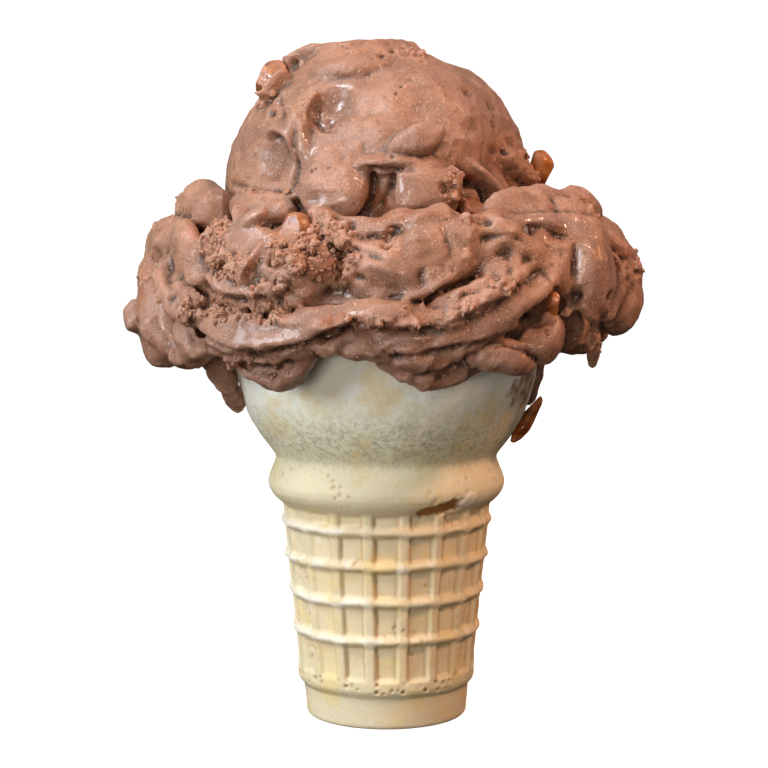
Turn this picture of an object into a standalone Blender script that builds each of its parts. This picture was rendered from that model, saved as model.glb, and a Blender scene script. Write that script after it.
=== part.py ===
"""Chocolate ice cream with toffee pieces in a flat-bottomed wafer cup.

The wafer cup is a thin moulded shell: a plain foot, a body with a lattice of ribs, a round
collar and a flared bowl. A wide lower scoop fills the cup and hangs over its rim in lobes, and a
rounder upper scoop is pressed into it. Pieces of toffee sit in pockets of the ice cream.

Lengths are in millimetres until they are written into a mesh, which is in metres. +Z is up and
the origin is the middle of the foot. A place on the ice cream is written as (azimuth, height,
radius): azimuth 0 is the front (-Y) and grows towards +X.
"""

import math

import bmesh
import bpy
import numpy as np

MM = 0.001
GAP = 0.3                      # clearance between touching solids

# ---------------------------------------------------------------- wafer cup
COLUMNS = 18                   # cells of the lattice around the cup
SEGMENTS = 2 * COLUMNS         # faces around: two for each cell
FIRST_RIB_DEG = 10.0           # azimuth of one upright rib
FOOT_RADIUS = 16.2
FOOT_TOP = (16.7, 6.6)         # radius and height where the foot meets the lattice
RING_HEIGHTS = (9.2, 17.6, 25.4, 32.7, 39.6)   # centres of the ring ribs
RING_RADII = (18.0, 18.8, 19.6, 20.4, 21.0)
BODY_TOP = (20.8, 43.6)        # where the lattice meets the collar
RIB_HALF = 1.15                # half the width of a rib at its foot
POCKET_DEPTH = 0.75
COLLAR = ((22.0, 44.5), (23.2, 45.9), (23.8, 47.8), (23.5, 49.6), (22.7, 51.2), (22.2, 52.3))
BOWL_FOOT = 22.2               # radius at the crease above the collar
BOWL_LOW = 52.3
RIM_RADIUS = 30.9
RIM_HEIGHT = 74.5
BOWL_RINGS = 6                 # rows of faces up the outside; the inside has half as many
BOWL_ROUND = 2.3               # exponent of the bowl's rounded outline
WALL = 2.2
FLOOR = 2.4
CHIP_AZ = 31.0                 # a broken place in the collar's lower edge
CHIP_HEIGHT = 44.6
CHIP_HALF = (4.3, 1.9, 1.6)    # half width, half depth and half height

# ---------------------------------------------------------------- scoops
RING_RADIUS = 30.0             # the lower scoop is worked out from this ring
RING_HEIGHT = 84.0
HIDDEN_REACH = 14.5            # how far it goes inwards, under the upper scoop and in the cup
DEPTH_SHARE = 0.95             # front to back, against side to side
LOWER_CORE = ((67.0, 27), (70.0, 32.5), (74, 37.5), (78.5, 41.5), (83, 43.8), (89, 44.2), (95, 42.0),
              (100, 38), (103, 33), (105, 27))         # heights and radii of its plain core
UPPER_MIDDLE = (-1.0, 0.0, 103.0)
UPPER_BODIES = (((-3.0, 0.6, 104.0), (29.6, 26.6, 30.2)),    # centres and half axes of the
                ((3.2, -4.4, 108.5), (20.6, 23.6, 23.8)),    # rounded bodies that it is made of
                ((6.0, 2.0, 106.5), (22.5, 24.0, 25.5)))
UPPER_BOTTOM = 91.0
PLUG_TOP = 80.0                # the filling of the cup runs up into the lower scoop
LOWER_AROUND = 70              # rays around, and their tilts: close together where they show
LOWER_TILTS = (-150, *range(-122, 119, 12), 150)
UPPER_AROUND = 50
UPPER_TILTS = (-75, -45, -24, *range(-12, 85, 8))
PLUG_AROUND = 18
FILLET = 1.4                   # how softly one fold of ice cream runs into the next

# A fold is a roll, tongue or ribbon of ice cream: a path of (azimuth, height, radius) places,
# its half width at both ends and how far it stands out from the path. Names say where it lies
# for someone facing the front.
LOWER_FOLDS = {
    "left_block": ([(-104, 100, 35.5), (-88, 101.8, 36.8), (-64, 100, 36)], 4.2, 3.6, 4.6),
    "left_shoulder": ([(-112, 92, 41), (-92, 93.8, 42.4), (-74, 93.4, 42)], 5.0, 4.6, 5.1),
    "left_outer": (
        [(-80, 96, 42.6), (-76, 90, 45.4), (-74, 83, 46.2), (-70, 77, 44.6), (-64, 73.5, 42.6)],
        4.6, 4.6, 4.4),
    "left_side": ([(-104, 91, 43.5), (-94, 85, 45.6), (-88, 78, 45.4), (-80, 73.6, 42.4)], 6.0, 6.0, 5.0),
    "side_lobe": ([(-87, 83, 49.6), (-83, 77.6, 50.0)], 2.6, 2.6, 2.5),
    "mid_ribbon": ([(-66, 96.5, 41.6), (-57, 86, 46.4), (-55, 80, 46.8), (-56, 75.5, 45.2)], 2.6, 2.8, 2.8),
    "inner_ribbon": ([(-60, 96, 41.4), (-54, 91, 44.6), (-48, 85.6, 46.4), (-44, 80.8, 46.4)], 2.4, 2.8, 2.6),
    "left_wedge": ([(-57, 84, 45.4), (-52, 78, 46), (-49, 74.6, 44.4)], 3.2, 4.2, 2.8),
    "left_bottom": ([(-80, 75, 41), (-66, 72.6, 42), (-52, 73.4, 41.8)], 3.6, 3.4, 4.2),
    "front_swoosh": (
        [(-47, 82.2, 46), (-38, 79.4, 46.1), (-25, 79.3, 45.7), (-12, 82.6, 46), (-7, 84.8, 45.6)],
        2.4, 2.4, 2.5),
    "under_swoosh": ([(-48, 75.4, 43.6), (-36, 74.6, 43), (-24, 75.4, 42.8), (-16, 77, 43)], 2.8, 2.6, 1.9),
    "front_left_lip": ([(-46, 72.2, 40.4), (-36, 69.4, 37.6), (-27, 70.2, 38.4), (-19, 73.2, 40.2)], 2.6, 2.4, 2.3),
    "crumbly": ([(-52, 94, 40.6), (-38, 91, 42.4), (-26, 90.4, 42.6), (-14, 93, 40.8)], 7.2, 6.6, 3.5),
    "swirl": ([(-20, 101.4, 37.5), (-7, 98, 40.2), (0, 98.6, 40.2), (8, 100.6, 38.6)], 2.2, 2.0, 2.3),
    "middle": ([(-8, 90.4, 41.6), (6, 91.6, 42.8), (16, 94.6, 41.8), (25, 98.4, 39.2)], 5.6, 5.0, 3.4),
    "shelf_tongue": ([(-10, 85.2, 45.2), (4, 84.5, 45.8), (9, 83.6, 45)], 2.4, 2.4, 2.7),
    "torn_shelf": ([(6, 83.4, 44.6), (14, 85.4, 45.4), (27, 89.8, 45), (34, 90, 45)], 2.4, 2.2, 2.9),
    "band_high": (
        [(0, 79.2, 43.8), (12, 79.8, 44.8), (30, 85, 46.4), (38, 89.4, 46.2), (44, 94.4, 44.4)], 2.6, 2.6, 2.5),
    "band_low": ([(-4, 75.6, 42), (10, 76.2, 42.8), (28, 80.4, 45.4), (36, 83.6, 45.8)], 2.4, 2.4, 2.3),
    "droop": ([(0, 73, 39.4), (12, 70.6, 37.8), (21, 71.4, 38.6), (29, 73.8, 40.4)], 2.6, 2.4, 2.7),
    "front_block": ([(-14, 76, 42), (2, 75.6, 42.2)], 2.8, 2.6, 2.3),
    "gloss_tongue": ([(25, 75.8, 42.4), (36, 73.2, 41.6)], 2.2, 2.4, 2.6),
    "right_bulge": ([(34, 80, 44.4), (39, 76.6, 44), (42.5, 74.2, 42)], 3.2, 3.4, 3.0),
    "right_layer": ([(38, 88, 45), (42, 82, 45.8), (47, 77, 44.2)], 3.2, 3.2, 2.8),
    "right_ribbon": ([(48, 99.6, 41), (55, 93, 45.4), (52, 85.6, 46.8), (48, 81.4, 46.2)], 4.0, 3.6, 3.2),
    "far_right": ([(70, 98, 42), (75, 92, 45.8), (74, 85, 47), (70, 78.6, 45)], 5.0, 5.6, 4.6),
    "right_side": ([(96, 99, 40), (95, 91, 45), (93, 84, 44.6), (90, 79, 41)], 6.4, 6.0, 5.2),
    "right_shoulder": ([(58, 101, 37.6), (74, 101.4, 38.4), (94, 100.6, 37.8)], 3.6, 4.0, 4.3),
    "right_under": ([(50, 79, 42.6), (60, 77, 42.6), (70, 77.2, 41)], 3.6, 3.6, 3.6),
    "right_drip": ([(64, 76, 42.8), (67, 73.4, 42.8), (69, 70.4, 42.4)], 2.6, 1.4, 1.4),
    "flap": ([(30, 99.6, 37.6), (38, 101.8, 37.6), (48, 102.8, 38), (57, 101.6, 38.8)], 2.2, 2.2, 2.9),
    "left_bowl_drip": ([(-98, 71, 34.5), (-93, 64.8, 32)], 3.2, 2.4, 2.4),
    "right_bowl_drip": ([(74, 74, 33.5), (80, 68.5, 30.8), (83, 64.6, 29.4)], 3.4, 2.4, 2.4),
}
# The back repeats the same kinds of fold: fat lobes low down, shoulders and slanting bands.
BACK_FIRST_DEG, BACK_LAST_DEG, BACK_LOBES = 108.0, 252.0, 7

UPPER_FOLDS = {
    "lip": ([(-36, 115, 25), (-31, 110.5, 27), (-24, 106.6, 28), (-9, 105.4, 26.4)], 3.8, 3.8, 3.0),
    "brow": ([(-14, 109.8, 26.8), (6, 110.2, 27.6), (23, 108.4, 26.6), (26, 105.6, 26)], 2.2, 2.0, 2.3),
    "knob": ([(1, 103.8, 26.8), (9, 103.2, 27.8), (17, 102.8, 27.8), (23, 103.6, 26.8)], 4.2, 3.8, 3.0),
    "leaf": ([(3, 112.8, 26), (10, 114.6, 25.6), (17, 117.2, 24.2)], 2.4, 2.0, 1.6),
    "tent": ([(33, 110.6, 26), (40, 109, 26.8), (46, 106, 27.6), (50, 99, 28.4)], 2.0, 2.2, 2.0),
    "tent_right": ([(46, 109, 25.6), (56, 104.6, 27), (60, 100.5, 28)], 3.0, 3.4, 2.3),
    "crag": ([(62, 111.5, 26), (72, 108, 27), (84, 105.5, 27)], 2.8, 3.0, 2.7),
    "left_sill": ([(-66, 106.6, 28.4), (-50, 105.6, 29), (-36, 105, 28.8)], 2.2, 2.2, 1.7),
    "left_skirt": ([(-76, 103, 29.5), (-56, 102, 31), (-34, 101.6, 31)], 3.0, 3.0, 3.0),
    "slab": ([(-84, 130.4, 16.5), (-50, 131.6, 12.5), (20, 132.2, 5), (70, 132.4, 6)], 3.2, 3.2, 2.7),
    "slab_back": ([(-120, 130.4, 15), (-160, 131.4, 10), (140, 131, 8)], 4.0, 4.0, 2.8),
    "back_roll_low": ([(120, 107, 26.5), (150, 104.5, 27), (185, 106.5, 27)], 3.6, 3.6, 3.2),
    "back_roll_high": ([(140, 118, 21.5), (190, 115, 23.4), (232, 111, 26.4)], 3.0, 3.2, 3.1),
}

# A toffee piece: place, half sizes (across, outwards, up), turn about its own outward axis, seed
# and the solids that it is bedded in.
TOFFEES = {
    "toffee_crown": ((-82, 126.8, 22.6), (2.9, 2.6, 3.3), 12, 3, ("scoop_upper",)),
    "toffee_right": ((84, 108.8, 31.0), (2.6, 3.3, 4.1), -18, 5, ("scoop_upper", "scoop_lower")),
    "toffee_drip": ((83, 60.2, 29.4), (2.5, 2.2, 4.3), 24, 8, ("scoop_lower",)),
    "toffee_crevice": ((38, 84.3, 48.6), (1.7, 2.2, 3.4), -20, 13, ("scoop_lower",)),
    "toffee_front": ((-21, 97.6, 42.2), (3.4, 2.2, 2.5), 30, 21, ("scoop_lower",)),
    "toffee_back_low": ((196, 90.0, 46.0), (3.2, 2.6, 2.7), 40, 34, ("scoop_lower",)),
    "toffee_back_high": ((150, 116.0, 28.6), (2.8, 2.4, 3.1), -35, 55, ("scoop_upper",)),
}

WAFER_COLOUR = (0.74, 0.61, 0.36, 1.0)
CHOCOLATE_COLOUR = (0.40, 0.21, 0.14, 1.0)
TOFFEE_COLOUR = (0.46, 0.16, 0.03, 1.0)


# ---------------------------------------------------------------- small helpers
def clear_scene():
    for old in list(bpy.data.objects):
        bpy.data.objects.remove(old, do_unlink=True)


def material(name, colour, roughness):
    made = bpy.data.materials.new(name)
    made.use_nodes = True
    shader = made.node_tree.nodes["Principled BSDF"]
    shader.inputs["Base Color"].default_value = colour
    shader.inputs["Roughness"].default_value = roughness
    shader.inputs["Metallic"].default_value = 0.0
    return made


def place(azimuth, height, radius):
    """The point at this azimuth in degrees, height and distance from the axis, in millimetres."""
    turn = math.radians(azimuth)
    return np.array([radius * math.sin(turn), -radius * math.cos(turn), height])


def link(mesh, name, finish=None):
    made = bpy.data.objects.new(name, mesh)
    bpy.context.scene.collection.objects.link(made)
    if finish:
        mesh.materials.append(finish)
        mesh.shade_smooth()
    return made


def as_cutter(made):
    made.hide_render = True
    made.display_type = "WIRE"
    return made


def closed_rings(rings, name, finish=None):
    """A closed skin over a stack of rings (rows x around x 3), with a middle point at each end."""
    rows, around = rings.shape[:2]
    points = [*rings.reshape(-1, 3), rings[0].mean(axis=0), rings[-1].mean(axis=0)]
    start, end = rows * around, rows * around + 1
    faces = []
    for k in range(around):
        after = (k + 1) % around
        faces.append((start, after, k))
        faces.append((end, (rows - 1) * around + k, (rows - 1) * around + after))
        for row in range(rows - 1):
            low, high = row * around, (row + 1) * around
            faces.append((low + k, low + after, high + after))
            faces.append((low + k, high + after, high + k))
    mesh = bpy.data.meshes.new(name)
    mesh.from_pydata([tuple(p * MM) for p in points], [], faces)
    outwards(mesh)
    return link(mesh, name, finish)


def outwards(mesh):
    """Turns every face of a closed mesh to point out."""
    work = bmesh.new()
    work.from_mesh(mesh)
    bmesh.ops.recalc_face_normals(work, faces=work.faces)
    work.to_mesh(mesh)
    work.free()


def boolean(made, other, operation):
    step = made.modifiers.new(f"{operation.lower()}_{other.name}"[:60], "BOOLEAN")
    step.operation = operation
    step.object = other
    step.solver = "EXACT"


# ---------------------------------------------------------------- wafer cup
def bowl_radius(height):
    """The bowl's outside: a rounded flare from the crease up to the rim."""
    share = (height - BOWL_LOW) / (RIM_HEIGHT - BOWL_LOW)
    flare = (1 - (1 - share) ** BOWL_ROUND) ** (1 / 1.6)
    return BOWL_FOOT + (RIM_RADIUS - BOWL_FOOT) * flare


def bowl_outside(grow=0.0):
    """(radius, height) places up the bowl from above its crease to the rim."""
    shares = np.linspace(0, 1, BOWL_RINGS + 1)[1:] ** 1.4
    heights = BOWL_LOW + (RIM_HEIGHT - BOWL_LOW) * shares
    return [(bowl_radius(h) + grow, h) for h in heights]


def bowl_inside(shrink=0.0):
    """(radius, height) places down the inside of the bowl, from the rim."""
    return [(r - WALL - shrink, h) for r, h in reversed(bowl_outside()[1::2])]


def outer_profile():
    """(radius, height) places up the outside, and which rows of faces hold the lattice."""
    body = [(FOOT_RADIUS, 0.0), FOOT_TOP]
    lattice = [len(body) + k for k in range(len(RING_HEIGHTS))]
    body += list(zip(RING_RADII, RING_HEIGHTS)) + [BODY_TOP]
    return body + list(COLLAR) + bowl_outside(), lattice


def inner_profile():
    """(radius, height) places down the inside, from the rim to the edge of the floor."""
    seat = [(BOWL_FOOT - WALL, BOWL_LOW + 1.0), (BODY_TOP[0] - WALL, BODY_TOP[1])]
    return bowl_inside() + seat + [(RING_RADII[0] - WALL - 0.8, FLOOR + 1.5), (FOOT_RADIUS - WALL - 1.6, FLOOR)]


def ring_points(radius, height):
    turns = np.radians(FIRST_RIB_DEG + 360.0 / SEGMENTS * np.arange(SEGMENTS))
    return np.stack([radius * np.sin(turns), -radius * np.cos(turns), np.full(SEGMENTS, height)], 1)


def press_pockets(mesh, lattice_rows):
    """Sinks one pocket into each cell of the lattice, which leaves the ribs standing."""
    work = bmesh.new()
    work.from_mesh(mesh)
    work.faces.ensure_lookup_table()
    cells = []
    for row in lattice_rows:
        start = row * SEGMENTS
        for column in range(COLUMNS):
            cells.append([work.faces[start + 2 * column], work.faces[start + 2 * column + 1]])
    for cell in cells:
        bmesh.ops.inset_region(
            work, faces=cell, thickness=RIB_HALF * MM, depth=-POCKET_DEPTH * MM,
            use_even_offset=True, use_boundary=True)
    work.to_mesh(mesh)
    work.free()


def wafer_cup(finish):
    outside, lattice = outer_profile()
    profile = outside + inner_profile()
    rings = np.array([ring_points(r, h) for r, h in profile])
    rows = len(profile)
    faces = [(row * SEGMENTS + k, row * SEGMENTS + (k + 1) % SEGMENTS,
              (row + 1) * SEGMENTS + (k + 1) % SEGMENTS, (row + 1) * SEGMENTS + k)
             for row in range(rows - 1) for k in range(SEGMENTS)]
    faces.append(tuple(range(SEGMENTS))[::-1])                    # the flat foot
    faces.append(tuple((rows - 1) * SEGMENTS + k for k in range(SEGMENTS)))      # the floor
    mesh = bpy.data.meshes.new("wafer_cup")
    mesh.from_pydata([tuple(p * MM) for p in rings.reshape(-1, 3)], [], faces)
    press_pockets(mesh, lattice)
    outwards(mesh)
    cup = link(mesh, "wafer_cup", finish)
    chip = lump("chip_cutter", place(CHIP_AZ, CHIP_HEIGHT, COLLAR[1][0] + 0.9), CHIP_HALF, CHIP_AZ, 0, 2)
    boolean(cup, as_cutter(chip), "DIFFERENCE")
    return cup


# ---------------------------------------------------------------- ice cream
def smooth_path(points, step):
    """Places along a Catmull-Rom curve through these points, about one step apart."""
    points = np.array(points, float)
    padded = np.vstack([2 * points[0] - points[1], points, 2 * points[-1] - points[-2]])
    found = [points[0]]
    for a, b, c, d in zip(padded, padded[1:], padded[2:], padded[3:]):
        count = max(1, round(np.linalg.norm(c - b) / step))
        for t in np.arange(1, count + 1) / count:
            found.append(0.5 * (2 * b + (c - a) * t + (2 * a - 5 * b + 4 * c - d) * t ** 2
                                + (3 * b - a - 3 * c + d) * t ** 3))
    return np.array(found)


def ray_leaves(origins, ways, centre, radius):
    """How far along each ray it leaves a ball, or -inf where it misses."""
    towards = centre - origins
    along = np.einsum("...k,...k", towards, ways)
    under_root = radius ** 2 - np.einsum("...k,...k", towards, towards) + along ** 2
    return np.where(under_root > 0, along + np.sqrt(np.maximum(under_root, 0)), -np.inf)


def soft_max(a, b, width):
    """The larger of two reaches, with a fillet of this width where they are alike."""
    near = np.maximum(width - np.abs(a - np.where(np.isfinite(b), b, a - 2 * width)), 0) / width
    return np.maximum(a, b) + near ** 2 * width / 4


def add_folds(reach, origins, ways, folds):
    """The reach of a scoop's surface once every fold of ice cream is laid on it."""
    for path, wide_start, wide_end, proud in folds.values():
        middle = smooth_path([place(*p) for p in path], 0.4 * min(wide_start, wide_end) + 0.6)
        sizes = np.linspace(wide_start, wide_end, len(middle))
        flat = middle * [1, 1, 0]
        outward = flat / np.linalg.norm(flat, axis=1)[:, None]
        balls = middle + outward * (proud - sizes)[:, None]
        furthest = np.max([ray_leaves(origins, ways, c, s) for c, s in zip(balls, sizes)], axis=0)
        reach = soft_max(reach, furthest, FILLET)
    return reach


def calm(reach):
    """Rounds off steps between neighbouring rays, so that no facet stands on edge."""
    around = (np.roll(reach, 1, axis=1) + 6 * reach + np.roll(reach, -1, axis=1)) / 8
    up_down = np.pad(around, ((1, 1), (0, 0)), mode="edge")
    return (up_down[:-2] + 6 * around + up_down[2:]) / 8


def back_folds():
    """The lobes, shoulders and slanting bands round the back of the lower scoop."""
    rng = np.random.default_rng(11)
    folds = {}
    for k, turn in enumerate(np.linspace(BACK_FIRST_DEG, BACK_LAST_DEG, BACK_LOBES)):
        lift, push = rng.uniform(-1.5, 1.5), rng.uniform(-0.8, 1.0)
        folds[f"back_lobe_{k}"] = ([(turn - 12, 81 + lift, 41.5), (turn, 77 + lift, 42 + push),
                                    (turn + 9, 75.5 + lift, 41)], 5.4, 5.0, 4.7)
        folds[f"back_shoulder_{k}"] = ([(turn - 10, 98 + lift, 38), (turn + 4, 100 + lift, 37.5),
                                        (turn + 16, 97.5, 38.5)], 3.6, 3.8, 4.0)
        folds[f"back_band_{k}"] = ([(turn - 16, 94 + lift, 43.4), (turn - 4, 89 + lift, 45.6 + push),
                                    (turn + 10, 85.5 + lift, 46 + push), (turn + 20, 84, 45)],
                                   2.6, 3.0, 2.8)
    return folds


def inside_core(points):
    """Whether places lie inside the lower scoop's plain core, from its heights and radii."""
    heights, radii = np.array(LOWER_CORE).T
    across = np.hypot(points[..., 0], points[..., 1] / DEPTH_SHARE)
    return across < np.interp(points[..., 2], heights, radii, left=0, right=0)


def lower_rings(extra=0.0):
    """The lower scoop's skin: rays leave a level ring and stop where they leave the ice cream."""
    turns = 2 * np.pi * np.arange(LOWER_AROUND) / LOWER_AROUND
    tilts = np.radians(LOWER_TILTS)[:, None]
    flat = np.stack([np.sin(turns), -np.cos(turns), 0 * turns], 1)
    start = flat * [RING_RADIUS, RING_RADIUS * DEPTH_SHARE, 0] + [0, 0, RING_HEIGHT]
    origins = np.broadcast_to(start, (len(LOWER_TILTS), LOWER_AROUND, 3))
    ways = np.cos(tilts)[..., None] * flat + np.sin(tilts)[..., None] * np.array([0, 0, 1.0])
    steps = np.linspace(0, 30, 241)[:, None, None]
    within = inside_core(origins + ways * steps[..., None])
    core = (steps * within).max(axis=0)
    hidden = np.cos(tilts) * np.ones_like(turns) < -0.55
    core = np.where(hidden, np.minimum(core, HIDDEN_REACH), core)
    reach = add_folds(core, origins, ways, {**LOWER_FOLDS, **back_folds()})
    reach = np.where(hidden, np.minimum(reach, HIDDEN_REACH), reach)
    return origins + ways * (calm(reach) + extra)[..., None]


def ellipsoid_reach(origins, ways, centre, axes):
    """How far along each ray it leaves an ellipsoid that its start lies in."""
    a = ways / np.array(axes)
    b = (origins - np.array(centre)) / np.array(axes)
    aa, ab, bb = (a * a).sum(-1), (a * b).sum(-1), (b * b).sum(-1)
    return (-ab + np.sqrt(np.maximum(ab ** 2 - aa * (bb - 1), 0))) / aa


def upper_rings(extra=0.0):
    """The upper scoop's skin: rays leave its middle and stop where they leave the ice cream."""
    turns = 2 * np.pi * np.arange(UPPER_AROUND) / UPPER_AROUND
    tilts = np.radians(UPPER_TILTS)[:, None]
    flat = np.stack([np.sin(turns), -np.cos(turns), 0 * turns], 1)
    ways = np.cos(tilts)[..., None] * flat + np.sin(tilts)[..., None] * np.array([0, 0, 1.0])
    origins = np.broadcast_to(np.array(UPPER_MIDDLE), ways.shape)
    reach = 0.0
    for centre, axes in UPPER_BODIES:
        reach = np.maximum(reach, ellipsoid_reach(origins, ways, centre, axes))
    reach = add_folds(reach, origins, ways, UPPER_FOLDS)
    down = np.minimum(ways[..., 2], -0.01)
    floor = (UPPER_BOTTOM - UPPER_MIDDLE[2]) / down       # its underside is pressed nearly flat
    reach = np.where(ways[..., 2] < 0, np.minimum(reach, floor), reach)
    return origins + ways * (calm(reach) + extra)[..., None]


def revolved(profile, around, name):
    """A closed solid of revolution from (radius, height) places, bottom to top."""
    turns = 2 * np.pi * (np.arange(around) + 0.37) / around
    flat = np.stack([np.sin(turns), -np.cos(turns)], 1)
    rings = np.array([[[r * x, r * y, h] for x, y in flat] for r, h in profile])
    return closed_rings(rings, name)


def plug():
    """The ice cream inside the cup, from just above the floor into the lower scoop."""
    inside = [(r - GAP - 0.2, h) for r, h in reversed(inner_profile())]
    inside[0] = (inside[0][0], FLOOR + GAP)
    inside = inside[:-1] + [(inside[-1][0], RIM_HEIGHT + 2), (16.0, PLUG_TOP)]
    return as_cutter(revolved(inside, PLUG_AROUND, "plug_join"))


def wall_cutter():
    """The bowl's wall with its clearance all round, which the lower scoop is moulded over."""
    outside, inside = bowl_outside(GAP), bowl_inside(GAP)
    top = RIM_HEIGHT + GAP
    profile = outside[:-1] + [(outside[-1][0], top), (inside[0][0], top)] + inside[1:]
    turns = 2 * np.pi * np.arange(SEGMENTS) / SEGMENTS + math.radians(FIRST_RIB_DEG)
    flat = np.stack([np.sin(turns), -np.cos(turns)], 1)
    points = [(r * x * MM, r * y * MM, h * MM) for r, h in profile for x, y in flat]
    rows = len(profile)
    faces = [(row * SEGMENTS + k, row * SEGMENTS + (k + 1) % SEGMENTS,
              (row + 1) % rows * SEGMENTS + (k + 1) % SEGMENTS, (row + 1) % rows * SEGMENTS + k)
             for row in range(rows) for k in range(SEGMENTS)]
    mesh = bpy.data.meshes.new("wall_cutter")
    mesh.from_pydata(points, [], faces)
    outwards(mesh)
    return as_cutter(link(mesh, "wall_cutter"))


# ---------------------------------------------------------------- toffee
def lump(name, centre, half, azimuth, turn, seed, finish=None, grow=0.0):
    """An uneven broken piece: a ball with flats and dents, stretched and turned to its place."""
    work = bmesh.new()
    bmesh.ops.create_icosphere(work, subdivisions=2, radius=1.0)
    rng = np.random.default_rng(seed)
    flats = rng.normal(size=(7, 3))
    flats /= np.linalg.norm(flats, axis=1)[:, None]
    depths = rng.uniform(0.62, 0.86, 7)
    face_out, roll = math.radians(azimuth), math.radians(turn)
    across = np.array([math.cos(face_out), math.sin(face_out), 0])
    outward = np.array([math.sin(face_out), -math.cos(face_out), 0])
    upward = np.array([0, 0, 1.0])
    first = across * math.cos(roll) + upward * math.sin(roll)
    second = upward * math.cos(roll) - across * math.sin(roll)
    for point in work.verts:
        way = np.array(point.co)
        for flat, depth in zip(flats, depths):
            way = way - flat * max(0.0, way @ flat - depth)
        sizes = (np.array(half) + grow) * way
        moved = centre + first * sizes[0] + outward * sizes[1] + second * sizes[2]
        point.co = moved * MM
    mesh = bpy.data.meshes.new(name)
    work.to_mesh(mesh)
    work.free()
    outwards(mesh)
    return link(mesh, name, finish)


def toffee_pieces(finish, scoops, wall):
    for name, (at, half, turn, seed, bedded_in) in TOFFEES.items():
        piece = lump(name, place(*at), half, at[0], turn, seed, finish)
        if name == "toffee_drip":          # it rests against the bowl
            boolean(piece, wall, "DIFFERENCE")
        pocket = lump(f"{name}_pocket", place(*at), half, at[0], turn, seed, grow=GAP + 0.15)
        for scoop in bedded_in:
            boolean(scoops[scoop], as_cutter(pocket), "DIFFERENCE")


def main():
    clear_scene()
    wafer = material("wafer", WAFER_COLOUR, 0.75)
    chocolate = material("chocolate_ice_cream", CHOCOLATE_COLOUR, 0.4)
    toffee = material("toffee", TOFFEE_COLOUR, 0.25)
    wafer_cup(wafer)
    upper = closed_rings(upper_rings(), "scoop_upper", chocolate)
    lower = closed_rings(lower_rings(), "scoop_lower", chocolate)
    seat = as_cutter(closed_rings(upper_rings(2 * GAP), "seat_cutter"))
    boolean(lower, plug(), "UNION")
    boolean(lower, seat, "DIFFERENCE")
    wall = wall_cutter()
    boolean(lower, wall, "DIFFERENCE")
    toffee_pieces(toffee, {"scoop_upper": upper, "scoop_lower": lower}, wall)


main()
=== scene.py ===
# %% [markdown]
# # Chocolate ice cream in a wafer cup
#
# A heap of soft chocolate ice cream with pieces of toffee stands in a moulded wafer cup. The
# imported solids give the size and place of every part, and each cell below dresses one of them.
# Lengths are thought of in millimetres, as a cook or a mould maker would, and become metres only
# where they enter a mesh. A place on the heap is (azimuth, height, radius): azimuth 0 is the
# front, and it grows towards the right of someone who faces the front.

import bpy
import numpy as np
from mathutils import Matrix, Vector


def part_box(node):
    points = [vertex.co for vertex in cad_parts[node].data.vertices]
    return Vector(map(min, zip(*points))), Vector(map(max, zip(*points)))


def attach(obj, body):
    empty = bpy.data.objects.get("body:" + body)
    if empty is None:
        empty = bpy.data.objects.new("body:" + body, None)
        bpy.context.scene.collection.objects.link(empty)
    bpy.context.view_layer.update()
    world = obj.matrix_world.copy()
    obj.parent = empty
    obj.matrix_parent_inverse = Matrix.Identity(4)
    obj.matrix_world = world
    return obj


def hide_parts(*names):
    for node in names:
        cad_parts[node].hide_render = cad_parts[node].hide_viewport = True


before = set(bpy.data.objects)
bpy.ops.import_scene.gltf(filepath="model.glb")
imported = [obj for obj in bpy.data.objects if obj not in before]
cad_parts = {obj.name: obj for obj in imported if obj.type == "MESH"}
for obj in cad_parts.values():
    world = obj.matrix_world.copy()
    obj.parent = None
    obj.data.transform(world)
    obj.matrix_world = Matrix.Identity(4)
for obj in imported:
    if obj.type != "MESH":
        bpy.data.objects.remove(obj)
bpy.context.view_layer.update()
MM = 0.001
print("solids:", sorted(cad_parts))

# %% [markdown]
# ## From arrays to a mesh
#
# Every piece here is a grid of points worked out by numpy in one go: a shape is a function of two
# parameters, such as the turn about an axis and the way along a path. A skin is such a grid as
# (points, quads, triangles), closed by a fan of triangles at each pole, and one function puts
# any number of skins into a mesh.

# %% Mesh helpers
def pole_faces(rows, around):
    """Quads between neighbouring rings of a grid, and a fan at each end, as index arrays."""
    k = np.arange(around)
    after = (k + 1) % around
    low = np.arange(rows - 1)[:, None] * around
    quads = np.stack([low + k, low + after, low + around + after, low + around + k], -1)
    first, last = rows * around, rows * around + 1
    top = (rows - 1) * around
    start = np.stack([np.full(around, first), after, k], -1)
    end = np.stack([np.full(around, last), top + k, top + after], -1)
    return quads.reshape(-1, 4), np.vstack([start, end])


def closed_grid(rings):
    """A closed skin over rings (rows x around x 3), with a pole at each end."""
    rows, around = rings.shape[:2]
    points = np.vstack([rings.reshape(-1, 3), rings[0].mean(0), rings[-1].mean(0)])
    return (points, *pole_faces(rows, around))


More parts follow.
